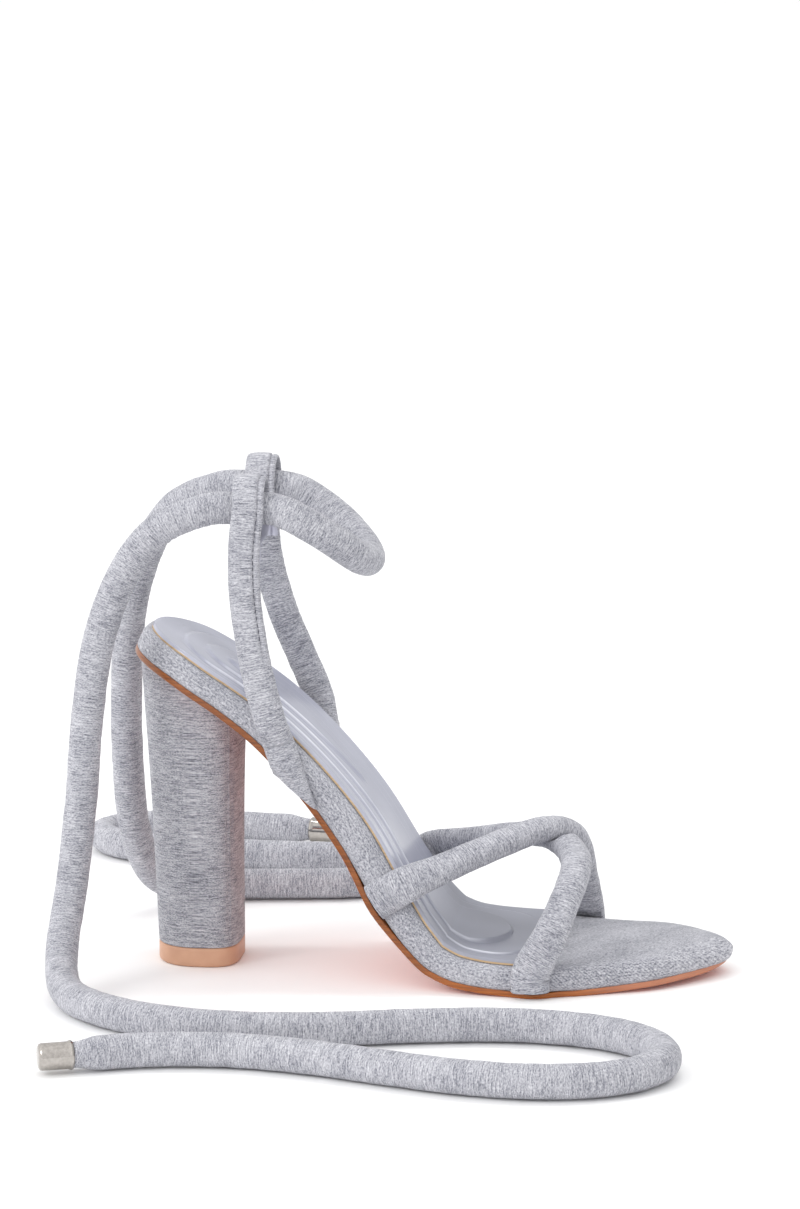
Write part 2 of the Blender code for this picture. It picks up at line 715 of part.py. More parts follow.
for old in list(bpy.data.objects):
    bpy.data.objects.remove(old)
shoe = bpy.data.objects.new("shoe", None)
bpy.context.scene.collection.objects.link(shoe)
make_outsole()
make_platform()
make_insole()
make_heel()
make_heel_tip()
make_toe_straps()
make_sling_strap("sling_strap_outer", SLING_OUTER_FEET, SLING_OUTER, -1)
make_sling_strap("sling_strap_inner", SLING_INNER_FEET, SLING_INNER, 1)
make_tie()
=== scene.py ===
"""Looks of the open-toe sandal on a round block heel: skins, seams, finishes, floor, light and camera.

The toe points to +X, the outer side of the foot is -Y and +Z is up. Sizes are in millimetres from the back
of the block heel's top, the middle of the heel and the floor. in_frame turns them into the part's metres.
"""

import functools
import math
from bisect import bisect_right
from collections import namedtuple

import bmesh
import bpy
from mathutils import Matrix, Vector, noise


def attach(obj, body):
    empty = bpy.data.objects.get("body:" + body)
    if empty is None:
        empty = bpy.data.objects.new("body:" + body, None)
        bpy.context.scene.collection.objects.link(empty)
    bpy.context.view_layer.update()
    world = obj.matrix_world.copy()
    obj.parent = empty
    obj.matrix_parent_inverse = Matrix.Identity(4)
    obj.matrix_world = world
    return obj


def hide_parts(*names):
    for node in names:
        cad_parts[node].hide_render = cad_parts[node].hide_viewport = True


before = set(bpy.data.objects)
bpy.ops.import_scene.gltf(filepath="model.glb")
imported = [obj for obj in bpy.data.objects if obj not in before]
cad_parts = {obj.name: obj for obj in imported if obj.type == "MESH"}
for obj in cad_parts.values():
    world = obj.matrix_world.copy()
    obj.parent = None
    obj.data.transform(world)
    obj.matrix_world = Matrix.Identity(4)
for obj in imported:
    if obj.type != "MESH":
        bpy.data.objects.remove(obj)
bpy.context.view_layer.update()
MM = 0.001
TURN = 2 * math.pi

# Camera, from the photograph's perspective
VIEW_AZIMUTH, VIEW_ELEVATION, VIEW_DISTANCE = 8.0, 10.8, 1.5
VIEW_TARGET = Vector((-0.01174, 0.00118, 0.12728))
PHOTO_HEIGHT = 1209
PIXEL_SIZE = 0.000343  # metres for one pixel at the target

# Studio light: a white room, brighter on the key's side
KEY_SIDE = Vector((-0.78, -0.45, 0.43)).normalized()
SKY_LIGHT, SKY_FALL = 0.95, 0.4
LIGHT_AIM = Vector((0.0, 0.0, 0.08))

# Sizes that the solids use too
SOLE_BACK, TOE_TIP = -2.0, 206.0
SHOE_MIDDLE = (102.0, -1.18)
OUTSOLE_THICK = 2.2
INSOLE_THICK, INSOLE_INSET, INSOLE_FRONT, INSOLE_CORNER = 1.7, 2.2, 147.0, 7.5
HEEL_TIP_HEIGHT = 7.0
STRAP_WIDTH, STRAP_THICK = 10.4, 8.4
STRAP_FOOT_WIDTH, STRAP_FOOT_THICK = 13.0, 7.4
SLING_WIDTH, SLING_THICK, LOOP_BAND = 10.8, 6.0, 2.8
TIE_DIAMETER = 11.0
FERRULE_DIAMETER, FERRULE_LENGTH = 9.8, 11.5
GAP = 0.3  # between two lengths of the tie, inside a loop

# The last: x, floor to sole, middle y, half width and platform thickness at each station
Station = namedtuple("Station", "x height middle half_width thick")
LAST = [Station(*station) for station in (
    (-2.0, 110.2, 0.0, 26.0, 8.0),
    (12.5, 103.6, 0.0, 27.4, 8.0),
    (22.5, 97.6, 0.0, 27.8, 8.0),
    (33.0, 90.6, -0.2, 27.8, 8.2),
    (43.0, 82.6, -0.4, 27.4, 8.8),
    (59.5, 64.6, -0.6, 27.2, 10.2),
    (72.0, 47.6, -0.8, 27.6, 11.0),
    (85.0, 26.2, -0.8, 29.8, 10.8),
    (95.0, 13.3, -0.6, 32.0, 9.8),
    (104.0, 5.6, -0.6, 34.2, 9.0),
    (115.0, 1.8, -0.6, 36.2, 8.6),
    (128.0, 0.4, -0.4, 37.6, 8.4),
    (138.0, 0.0, -0.2, 37.8, 8.4),
    (154.0, 0.0, 0.6, 34.8, 8.3),
    (166.0, 0.5, 1.2, 30.8, 8.2),
    (178.0, 1.4, 2.0, 26.8, 8.0),
    (192.0, 2.2, 3.8, 21.0, 7.8),
    (206.0, 2.7, 5.6, 16.0, 7.2),
)]
HEEL_ROUND, TOE_ROUND, TOE_POWER = 25.0, 30.0, 2.1
END_GAP = 0.0002  # the ends of the sole stop this short of closing to a point

# Side of the platform from its foot to the edge of its top; set_back is how far the toe's tip is taken back
RimPoint = namedtuple("RimPoint", "inset share set_back")
RIM = (
    RimPoint(0.5, 0.0, 1.7),
    RimPoint(0.0, 0.14, 0.7),
    RimPoint(-0.3, 0.48, 0.0),
    RimPoint(0.4, 0.76, 1.7),
    RimPoint(1.7, 0.94, 4.0),
    RimPoint(3.4, 1.0, 7.0),
)
RIM_FIT = 14.0  # half width below which the rim's insets shrink with the sole
NOSE_LENGTH = 26.0  # stretch that the toe's tip is rounded over
DISH_DEPTH, TOE_CROWN, SWELL_END = 0.9, 2.0, 10.0  # hollow of the footbed, rise of the toe, fade at the ends
CROWN_START, CROWN_FULL, CROWN_AT_TIP = 8.0, 18.0, 0.6  # before and past the insole's front; share at tip
SEAT_SHARE, SEAT_ROLL = 0.55, 4.0  # the platform rolls down to this share of its height at the back
TOE_PLEATS, SEAT_PLEATS = (150, 172), (24, 2)  # where the jersey starts to pucker, and does so in full
PLEAT_PITCH, PLEAT_DEPTH = 5.2, 0.16

# Outsole
OUTSOLE_NOSE, OUTSOLE_THIN = 2.0, 14.0  # set back at the toe's tip, and the stretch that it thins over
OUTSOLE_ROUND, OUTSOLE_GAP = 0.7, 0.02  # of its lower edge, and under the platform
OUTSOLE_CLOTH = 80.0  # distance round its section on the cloth map

# Block heel, from its foot to its top
HeelSize = namedtuple("HeelSize", "share back breast half_width")
HEEL = (
    HeelSize(0.0, 5.4, 34.6, 15.4),
    HeelSize(0.5, 3.2, 34.6, 16.6),
    HeelSize(1.0, 0.0, 35.4, 19.2),
)
BACK_POWER, BREAST_POWER = 2.1, 3.4
HEEL_GAP = 0.1  # above the tip and under the sole
HEEL_GIRTH, HEEL_CLOTH = 96.0, 100.0  # distance round it, and the same on the cloth map
HEEL_JOINT, JOINT_DEPTH = 0.105, 0.2  # place of the cover's joint as a share of the way round
# Heel tip: height and inset, with both edges rounded
TIP_PROFILE = (
    (0.0, 1.1), (0.12, 0.55), (0.45, 0.15), (1.0, 0.0), (3.0, 0.0), (5.0, 0.0),
    (6.2, 0.0), (6.6, 0.1), (6.85, 0.3), (6.95, 0.6), (HEEL_TIP_HEIGHT, 1.0),
)

# Paths of the straps, outer side first
OVER_STRAP = (
    (97.0, -31.0, 36.6),
    (107.5, -24.5, 40.4),
    (120.0, -15.5, 44.6),
    (132.0, -6.0, 48.2),
    (141.2, 3.0, 49.4),
    (147.2, 12.0, 46.4),
    (150.2, 21.5, 38.2),
    (151.2, 29.0, 26.0),
)
OVER_STRAP_FEET = (83.6, 152.0)
UNDER_STRAP = (
    (145.9, -37.3, 20.5),
    (150.4, -30.0, 31.0),
    (153.0, -18.0, 39.0),
    (151.6, -6.5, 42.4),
    (144.5, 5.5, 45.0),
    (133.0, 15.0, 44.3),
    (112.5, 27.0, 38.4),
    (97.5, 32.6, 34.0),
)
UNDER_STRAP_FEET = (140.2, 86.5)
STRAP_FOOT_RISES, STRAP_FOOT_END = (2.5, 9.0), (0.06, 0.24)  # heights, and shares of the length
STRAP_GIRTH, SLING_GIRTH = 30.0, 28.0  # distance round a strap on the cloth map
FACE_LIFT = 2.0  # keeps the face of a toe strap turned up a little at its feet
FOOT_OUT, SLING_FOOT_OUT = 0.4, 1.8
FOOT_ZONE = 40.0  # height above the sole within which a strap may touch its side
WALL_GAP, WALL_ROUND = 0.3, 1.5  # of a strap's foot against the platform's side, and over its top edge
CROSSING_HEIGHT = 30.0  # the toe straps cross above this
PRESS_REACH = 1.5  # half widths of the upper strap that the lower one is squeezed over
SWELL, SWELL_LENGTH, SWELL_AHEAD = 1.2, 6.0, 1.0  # of the outsole under a strap's foot
SLING_OUTER_FEET = (54.0, 47.6)
SLING_OUTER = (
    (50.8, 32.6, 91.0),
    (47.3, 32.8, 103.5),
    (44.2, 32.2, 118.0),
    (42.0, 31.4, 133.0),
    (41.3, 30.4, 146.0),
    (41.8, 30.4, 155.0),
    (42.8, 31.0, 163.5),
)
SLING_INNER_FEET = (60.6, 54.0)
SLING_INNER = (
    (56.4, 33.0, 88.0),
    (51.0, 33.0, 101.0),
    (44.4, 32.4, 117.0),
    (39.8, 31.4, 133.0),
    (38.0, 30.4, 146.0),
    (38.0, 30.4, 155.0),
    (38.8, 31.0, 163.5),
)
SLING_FOOT_RISES = (3.0, 7.5)
SLING_WRAP = 0.6  # how far the middle of the strap's foot reaches below the outsole
SLING_LEAN = 0.2  # slope of its end against the sole: lower at the back
FOOT_TAIL = 16.0  # length trimmed off below that
FOOT_TURN, FOOT_BULGE = 3.0, 0.4  # height that its foot turns under from, and its stand off the wall
# Sizes of a sling strap by the distance past the start of its loop
SLING_WIDTHS = ((-60, SLING_WIDTH), (0, SLING_WIDTH), (45, SLING_WIDTH - 0.6))
SLING_THICKS = (
    (-110, 6.6), (-80, SLING_THICK), (-28, 5.4), (-8, 3.6), (0, LOOP_BAND), (26, 2.6), (38, 2.0), (45, 1.7),
)
SLING_PAD_END, SLING_SETTLED, LINING_START = (-22, -2), -40, 34  # by the same distance
SLING_TAIL = ((25.7, 152.0), (26.6, 148.5), (26.9, 145.5))  # y and z of the folded end, inside the strap
TAIL_AHEAD = 0.2  # how far that end stands ahead of the strap
SEAM_PLACE, SEAM_SPREAD, SEAM_DEPTH = 0.68, 0.08, 0.9  # groove along a sling strap's front edge
SEAM_RUN, SEAM_FADE = 44.0, 12.0  # length of the seam below the loop, and of its fading end
STITCH_PITCH, STITCH_LENGTH, STITCH_THICK = 2.4, 1.9, 0.6
LOOP_HEIGHT, LOOP_ROOM = 10.5, 0.5  # of the loop's bend, and between the loop and the tie
LOOP_REACH = TIE_DIAMETER / 2 + LOOP_ROOM + LOOP_BAND / 2
LOOP_TURNS = (30, 60, 90, 120, 150, 180, 210, 238)  # degrees round the tie
TUBE_POWER, TIE_POWER = 2.3, 2.15  # roundness of the sections
FINE_STEPS = 16  # steps between two points of a path

# Route of the tie from each loop to its metal end, y counted to the strap's own side
TIE_REST, TIE_FLOOR = 5.8, 0.25  # height of its middle and of its underside where it lies on the floor
GATHER_LENGTH, GATHER_BY = 9, 1.4  # how its free ends narrow into the metal ends
GATHER_FOLDS, GATHER_FOLD_DEPTH = 11, 0.22
TIE_OUTER = (
    (27.0, 25.4, 162.8),
    (12.0, 28.2, 156.4),
    (0.5, 31.0, 142.0),
    (-8.0, 34.0, 119.0),
    (-12.0, 36.0, 92.0),
    (-14.0, 38.0, 64.0),
    (-16.5, 42.5, 37.0),
    (-18.0, 53.0, 16.5),
    (-13.5, 70.0, 6.6),
    *[(x, y, TIE_REST) for x, y in (
        (0.0, 88.0), (22.0, 101.0), (50.0, 106.0), (80.0, 103.0), (110.0, 95.0), (140.0, 90.0),
        (168.0, 94.0), (187.0, 107.0), (192.0, 126.0), (180.0, 143.0), (158.0, 151.0), (132.0, 150.0),
        (106.0, 143.0), (80.0, 135.0), (54.0, 131.0), (28.0, 134.0), (5.0, 143.0),
    )],
)
TIE_INNER = (
    (23.0, 25.4, 162.4),
    (8.0, 28.4, 155.6),
    (-3.0, 31.6, 141.0),
    (-10.5, 34.0, 118.0),
    (-13.0, 36.0, 91.0),
    (-13.5, 38.5, 63.0),
    (-12.5, 44.0, 36.0),
    (-8.0, 55.0, 15.5),
    (3.0, 70.0, 6.4),
    *[(x, y, TIE_REST) for x, y in (
        (20.0, 79.0), (42.0, 83.0), (60.0, 87.0), (72.0, 95.0), (75.5, 106.0), (69.0, 117.0),
        (53.0, 123.0), (30.0, 124.0), (6.0, 124.0), (-18.0, 127.0), (-38.0, 135.0), (-46.0, 149.0),
        (-37.0, 162.0), (-16.0, 168.0), (8.0, 168.0), (32.0, 166.0),
    )],
)
TIE_MIDDLE = (
    (57.5, -24.0, 161.0),
    (69.0, -20.6, 153.5),
    (77.0, -12.0, 146.0),
    (79.5, 0.0, 143.0),
    (75.5, 12.0, 146.0),
    (66.0, 20.6, 153.5),
    (54.0, 24.0, 161.0),
)
TIE_LEAD = 7.0  # length that the tie runs straight out of a loop
FLUSH_ROWS = 6  # rows at a cut end of the tie that stay smooth

# Raised ovals moulded into the insole. half_widths gives x and half width along each one.
Oval = namedtuple("Oval", "back back_round front front_round front_raise half_widths")
INSOLE_OVALS = (
    Oval(
        back=10.5, back_round=13.0, front=141.0, front_round=16.0, front_raise=0.0,
        half_widths=((10, 19.5), (40, 18.5), (70, 16.5), (95, 21.0), (120, 28.5), (141, 28.0)),
    ),
    Oval(
        back=17.0, back_round=12.0, front=129.0, front_round=18.0, front_raise=0.9,
        half_widths=((17, 12.6), (40, 11.6), (70, 9.4), (95, 13.0), (120, 20.0), (129, 20.0)),
    ),
    Oval(
        back=24.0, back_round=12.0, front=66.0, front_round=26.0, front_raise=0.0,
        half_widths=((24, 6.2), (45, 5.4), (66, 4.4)),
    ),
)
INSOLE_GAP = 0.1  # between the platform and the insole
INSOLE_CLOTH = 62.0  # distance round its section on the cloth map
INSOLE_EDGE_RISE = 0.25  # height of the tan line round the insole, on its cloth map
OVAL_RAISE, OVAL_GROOVE, OVAL_SLOPE = 0.55, 0.12, 1.0
HIGHLIGHT_LINE = 0.33  # width of the painted highlight line along the top of each oval's edge

CLOTH_MAP = "cloth"  # UV map in metres on the cloth
HIGHLIGHT_ATTRIBUTE = "painted_highlight"  # attribute of the insole: how bright the painted highlight on its ridges is
WALE, COURSE = 0.00062, 0.00052  # pitch of the knit's columns and rows
FIBRE_SIZE, PATCH_SIZE = (0.0008, 0.00038, 1.0), (0.014, 0.009, 1.0)  # length and width, in metres
RIB, RIB_SLANT = 0.0012, 1.5  # pitch and slant of the ribs that show where the knit is pulled round the toe
RIB_WALL = (0.009, 0.004)  # heights on the side wall that they fade in over
RIB_TOE = (0.18, 0.2)  # distances along the sole that they fade in over
# Stretches along the shoe, in the part's metres, that the finishes change over
# Over the first stretch the insole turns duller and darker; the darkening is painted shade, as under the toe
# straps.
FOREFOOT_DULL_AND_SHADED = (-0.014, 0.012)
# Over the next two the outsole's edge takes painted shade along the waist, then painted pink bounce light
# round the toe.
EDGE_WAIST_SHADE, EDGE_TOE_GLOW = (-0.002, 0.014), (0.046, 0.074)
STREAKS = (90, 90, 1500)  # streaks to a metre, each way, in the board's burnished edge
SHARP_ANGLE = 50  # degrees past which an edge isn't shaded smooth


def smooth_curve(knots, values):
    """A smooth function through the knots that never overshoots them."""
    steps = [b - a for a, b in zip(knots, knots[1:])]
    rises = [(b - a) / h for a, b, h in zip(values, values[1:], steps)]
    slopes = [rises[0]]
    for i in range(1, len(rises)):
        before, after = rises[i - 1], rises[i]
        if before * after <= 0:
            slopes.append(0.0)
            continue
        left, right = 2 * steps[i] + steps[i - 1], steps[i] + 2 * steps[i - 1]
        slopes.append((left + right) / (left / before + right / after))
    slopes.append(rises[-1])

    def at(x):
        i = max(0, min(len(steps) - 1, bisect_right(knots, x) - 1))
        t = (x - knots[i]) / steps[i]
        start = values[i] * (1 + 2 * t) * (1 - t) ** 2 + values[i + 1] * t * t * (3 - 2 * t)
        turn = slopes[i] * t * (1 - t) ** 2 - slopes[i + 1] * t * t * (1 - t)
        return start + steps[i] * turn

    return at


def column(table, name):
    return [getattr(row, name) for row in table]


def ease(x, start, end):
    """0 before start, 1 after end, smooth between."""
    t = max(0.0, min(1.0, (x - start) / (end - start)))
    return t * t * (3 - 2 * t)


def bell(x, width):
    return math.exp(-((x / width) ** 2))


def in_frame(point):
    return Vector((point.x - SHOE_MIDDLE[0], point.y - SHOE_MIDDLE[1], point.z)) * MM


# The sole's own shape

LAST_X = column(LAST, "x")
sole_height, sole_middle, sole_half, rim_thick = [
    smooth_curve(LAST_X, column(LAST, name)) for name in ("height", "middle", "half_width", "thick")
]
RIM_STEPS = [i / (len(RIM) - 1) for i in range(len(RIM))]
rim_inset, rim_share, rim_set_back = [
    smooth_curve(RIM_STEPS, column(RIM, name)) for name in ("inset", "share", "set_back")
]
toe_swell = smooth_curve(
    (SOLE_BACK, INSOLE_FRONT - CROWN_START, INSOLE_FRONT + CROWN_FULL, TOE_TIP),
    (-DISH_DEPTH, -DISH_DEPTH, TOE_CROWN, TOE_CROWN * CROWN_AT_TIP),
)


def end_round(distance, length, power):
    if distance >= length:
        return 1.0
    return (1 - (1 - max(distance, 0.0) / length) ** power) ** (1 / power)


def outline(x, inset=0.0, front=TOE_TIP, front_round=TOE_ROUND):
    """(middle, half width) of the sole's outline at x, taken in by inset all round and ended at front."""
    half = sole_half(x) - inset
    half *= end_round(x - SOLE_BACK - inset, HEEL_ROUND - inset, 2.0)
    half *= end_round(front - x, front_round, TOE_POWER)
    return sole_middle(x), half


def from_end(x):
    return min(x - SOLE_BACK, TOE_TIP - x)


def sole_normal(x):
    low, high = max(SOLE_BACK, x - 0.5), min(TOE_TIP, x + 0.5)
    slope = (sole_height(high) - sole_height(low)) / (high - low)
    return Vector((-slope, 0.0, 1.0)).normalized()


def on_sole(x, y, rise):
    return Vector((x, y, sole_height(x))) + sole_normal(x) * rise


def station_of(point):
    """(x, rise) of the sole's station that a point stands on."""
    x, rise = point.x, 0.0
    for _ in range(8):
        normal = sole_normal(x)
        rise = (point.z - sole_height(x)) * normal.z + (point.x - x) * normal.x
        x = max(SOLE_BACK, min(TOE_TIP, 0.5 * x + 0.5 * (point.x - normal.x * rise)))
    return x, rise


def platform_thick(x):
    return rim_thick(x) * (SEAT_SHARE + (1 - SEAT_SHARE) * end_round(x - SOLE_BACK, SEAT_ROLL, 2.0))


def nose_back(x, set_back):
    """How far a point of the sole moves back to round the toe's tip."""
    return Vector((set_back * ease(x, TOE_TIP - NOSE_LENGTH, TOE_TIP), 0.0, 0.0))


def footbed_rise(x, share):
    return toe_swell(x) * (1 - share * share) * min(1.0, from_end(x) / SWELL_END)


def length_along(points):
    """Distance along the points, one figure for each."""
    along = [0.0]
    for a, b in zip(points, points[1:]):
        along.append(along[-1] + (b - a).length)
    return along


# Making a piece

def link(obj):
    bpy.context.scene.collection.objects.link(obj)
    return obj


def skin(name, columns, rows, shape, cloth, trim=None, painted_highlight=None):
    """A closed skin bent from a flat grid. shape and cloth take the shares across and along the grid.

    trim is a point and a direction: what lies beyond the point that way is cut off.
    The last argument takes the same shares and tells how bright a painted highlight is there, from 0 to 1.
    """
    bm = bmesh.new()
    painted_light = bm.verts.layers.float.new(HIGHLIGHT_ATTRIBUTE) if painted_highlight else None
    sheet = bm.loops.layers.uv.new(CLOTH_MAP)
    bmesh.ops.create_grid(bm, x_segments=columns, y_segments=rows, size=0.5)
    shares = [(vert.co.x + 0.5, vert.co.y + 0.5) for vert in bm.verts]
    bm.verts.index_update()
    on_cloth = [Vector(cloth(*share)) * MM for share in shares]
    for face in bm.faces:
        for loop in face.loops:
            loop[sheet].uv = on_cloth[loop.vert.index]
    for vert, share in zip(bm.verts, shares):
        vert.co = in_frame(shape(*share))
        # the painted highlight at each point
        if painted_highlight:
            vert[painted_light] = painted_highlight(*share)
    bmesh.ops.remove_doubles(bm, verts=bm.verts, dist=1e-6)
    bmesh.ops.dissolve_degenerate(bm, dist=1e-7, edges=bm.edges)
    if trim:
        whole = [*bm.verts, *bm.edges, *bm.faces]
        point, way = trim
        bmesh.ops.bisect_plane(bm, geom=whole, plane_co=in_frame(point), plane_no=way, clear_outer=True)
    bmesh.ops.holes_fill(bm, edges=[e for e in bm.edges if e.is_boundary], sides=0)
    return finish_mesh(name, bm)


def finish_mesh(name, bm, smooth=True):
    """Turns the faces outwards and makes the object."""
    bmesh.ops.recalc_face_normals(bm, faces=bm.faces)
    if bm.calc_volume(signed=True) < 0:
        bmesh.ops.reverse_faces(bm, faces=bm.faces)
    mesh = bpy.data.meshes.new(name)
    bm.to_mesh(mesh)
    bm.free()
    if smooth:
        mesh.shade_smooth()
        mesh.set_sharp_from_angle(angle=math.radians(SHARP_ANGLE))
    return link(bpy.data.objects.new(name, mesh))


def dress(piece, slot, *materials, node=None):
    """Gives a piece its finish and its place on the shoe."""
    for material in materials:
        piece.data.materials.append(material)
    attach(piece, "root")
    if node:
        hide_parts(node)
    return piece


# Finishes

def add(tree, kind, inputs=None, **settings):
    """One shader node; inputs are plain values or other nodes' sockets."""
    made = tree.nodes.new(kind)
    for name, value in settings.items():
        setattr(made, name, value)
    for socket, value in (inputs or {}).items():
        if isinstance(value, bpy.types.NodeSocket):
            tree.links.new(value, made.inputs[socket])
        else:
            made.inputs[socket].default_value = value
    return made


def sums(tree, operation, first, second=0.0, third=0.0):
    return add(tree, "ShaderNodeMath", {0: first, 1: second, 2: third}, operation=operation).outputs[0]


def ramp(tree, value, *stops):
    """Colours blended over a value; each stop is a place and a colour."""
    made = add(tree, "ShaderNodeValToRGB", {"Fac": value})
    points = made.color_ramp.elements
    while len(points) < len(stops):
        points.new(0.5)
    for point, (place, colour) in zip(points, stops):
        point.position = place
        point.color = (*colour, 1.0)
    return made.outputs["Color"]


def srgb(red, green, blue):
    """Colour from 0 to 255 screen values, as the shader's linear light."""
    shares = [c / 255 for c in (red, green, blue)]
    return tuple(c / 12.92 if c <= 0.04045 else ((c + 0.055) / 1.055) ** 2.4 for c in shares)


def new_group(name, inputs, outputs):
    group = bpy.data.node_groups.new(name, "ShaderNodeTree")
    for socket, kind in inputs:
        group.interface.new_socket(socket, in_out="INPUT", socket_type=kind)
    for socket, kind in outputs:
        group.interface.new_socket(socket, in_out="OUTPUT", socket_type=kind)
    return group, group.nodes.new("NodeGroupInput").outputs, group.nodes.new("NodeGroupOutput")


def new_material(name, **values):
    """(material, its nodes, its shader); values are the shader's inputs, by their names in small letters."""
    material = bpy.data.materials.new(name)
    material.use_nodes = True
    shader = material.node_tree.nodes["Principled BSDF"]
    for socket, value in values.items():
        shader.inputs[socket.replace("_", " ").title().replace("Ior", "IOR")].default_value = value
    return material, material.node_tree, shader


def object_place(tree):
    return add(tree, "ShaderNodeTexCoord").outputs["Object"]


def along_shoe(tree, place):
    return add(tree, "ShaderNodeSeparateXYZ", {0: place}).outputs["X"]


def noisy(tree, place, scale, detail):
    inputs = {"Vector": place, "Scale": scale, "Detail": detail}
    return add(tree, "ShaderNodeTexNoise", inputs).outputs["Fac"]


def scaled(tree, colour, by):
    return add(tree, "ShaderNodeVectorMath", {0: colour, "Scale": by}, operation="SCALE").outputs[0]


def mixed(tree, share, first, second):
    """The first colour, with a share of the plain second one mixed in."""
    inputs = {0: share, 6: first, 7: (*second, 1.0)}
    return add(tree, "ShaderNodeMix", inputs, data_type="RGBA").outputs[2]


def connect(tree, shader, colour, roughness=None, height=None, strength=0.15, depth=0.0001):
    """Links a finish to its shader. A height gives a bump of the depth, in metres, and the strength."""
    tree.links.new(colour, shader.inputs["Base Color"])
    if roughness:
        tree.links.new(roughness, shader.inputs["Roughness"])
    if height:
        bump = add(tree, "ShaderNodeBump", {"Height": height, "Strength": strength, "Distance": depth})
        tree.links.new(bump.outputs["Normal"], shader.inputs["Normal"])


def stretched_noise(tree, cloth, size, **settings):
    """Noise on the cloth map whose swells have the given length and width."""
    place = add(tree, "ShaderNodeVectorMath", {0: cloth, 1: size}, operation="DIVIDE").outputs[0]
    inputs = {name.title(): value for name, value in settings.items()}
    return add(tree, "ShaderNodeTexNoise", {"Vector": place, "Scale": 1.0, **inputs}).outputs["Fac"]


def heather_group():
    """Melange jersey: slubs of dark and pale yarn, loose fibres, soft patches, the knit and its ribs."""
    numbers = ("Slub Length", "Slub Width", "Slub Strength", "Fibre Strength", "Rib Strength", "Shade")
    tree, given, out = new_group(
        "heather jersey",
        (("Cloth", "NodeSocketVector"), *[(name, "NodeSocketFloat") for name in numbers]),
        (("Color", "NodeSocketColor"), ("Height", "NodeSocketFloat")),
    )
    cloth = given["Cloth"]
    length_width = {"X": given["Slub Length"], "Y": given["Slub Width"], "Z": 1.0}
    slub_size = add(tree, "ShaderNodeCombineXYZ", length_width).outputs[0]
    slubs = stretched_noise(tree, cloth, slub_size, detail=3.0, roughness=0.6, distortion=0.4)
    fibres = stretched_noise(tree, cloth, FIBRE_SIZE, detail=2.0, roughness=0.7)
    patches = stretched_noise(tree, cloth, PATCH_SIZE, detail=2.0)
    places = add(tree, "ShaderNodeSeparateXYZ", {0: cloth}).outputs
    wale = sums(tree, "ABSOLUTE", sums(tree, "SINE", sums(tree, "MULTIPLY", places["X"], TURN / WALE)))
    turned = sums(tree, "MULTIPLY_ADD", places["Y"], TURN / COURSE, sums(tree, "MULTIPLY", wale, 2.2))
    knit = sums(tree, "MULTIPLY_ADD", sums(tree, "SINE", turned), 0.25, sums(tree, "MULTIPLY", wale, 0.5))
    slanted = sums(tree, "MULTIPLY", places["Y"], TURN / RIB * RIB_SLANT)
    across = sums(tree, "MULTIPLY_ADD", places["X"], TURN / RIB, slanted)
    ribs = sums(tree, "SINE", sums(tree, "MULTIPLY_ADD", slubs, 2.5, across))

    def centred(value):
        return sums(tree, "SUBTRACT", value, 0.5)

    tone = sums(tree, "MULTIPLY_ADD", centred(slubs), given["Slub Strength"], 0.5)
    tone = sums(tree, "MULTIPLY_ADD", centred(fibres), given["Fibre Strength"], tone)
    tone = sums(tree, "MULTIPLY_ADD", centred(patches), 0.16, tone)
    tone = sums(tree, "MULTIPLY_ADD", ribs, given["Rib Strength"], tone)
    tone = sums(tree, "MULTIPLY_ADD", knit, 0.04, tone)
    melange = ramp(
        tree, tone,
        (0.30, srgb(85, 86, 95)), (0.44, srgb(139, 140, 149)),
        (0.55, srgb(183, 183, 190)), (0.72, srgb(223, 223, 227)),
    )
    raised = sums(tree, "MULTIPLY", sums(tree, "MULTIPLY", ribs, given["Rib Strength"]), 5.0)
    height = sums(tree, "MULTIPLY_ADD", knit, 0.6, raised)
    height = sums(tree, "MULTIPLY_ADD", fibres, 0.6, sums(tree, "ADD", slubs, height))
    tree.links.new(scaled(tree, melange, given["Shade"]), out.inputs["Color"])
    tree.links.new(height, out.inputs["Height"])
    return tree


def faded(tree, value, start, end):
    """0 at the start, 1 at the end and a soft blend between them."""
    limits = {"Value": value, "From Min": start, "From Max": end}
    return add(tree, "ShaderNodeMapRange", limits, interpolation_type="SMOOTHSTEP").outputs["Result"]


def jersey_finish(name, slub_length, slub_width, slubs, fibres, ribs=0.0, shade=1.0):
    """Heather jersey. slubs, fibres and ribs are strengths; the ribs show on the toe's side wall alone."""
    material, tree, shader = new_material(
        name, roughness=0.94, specular_ior_level=0.2, sheen_weight=0.2, sheen_roughness=0.5,
    )
    cloth = add(tree, "ShaderNodeUVMap", uv_map=CLOTH_MAP).outputs["UV"]
    if ribs:
        places = add(tree, "ShaderNodeSeparateXYZ", {0: cloth}).outputs
        on_wall, at_toe = faded(tree, places["Y"], *RIB_WALL), faded(tree, places["X"], *RIB_TOE)
        ribs = sums(tree, "MULTIPLY", sums(tree, "MULTIPLY", on_wall, at_toe), ribs)
    knit = add(
        tree, "ShaderNodeGroup",
        {
            "Cloth": cloth, "Slub Length": slub_length * MM, "Slub Width": slub_width * MM,
            "Slub Strength": slubs, "Fibre Strength": fibres, "Rib Strength": ribs, "Shade": shade,
        },
        node_tree=HEATHER,
    ).outputs
    connect(tree, shader, knit["Color"], height=knit["Height"], strength=0.55, depth=0.00022)
    return material


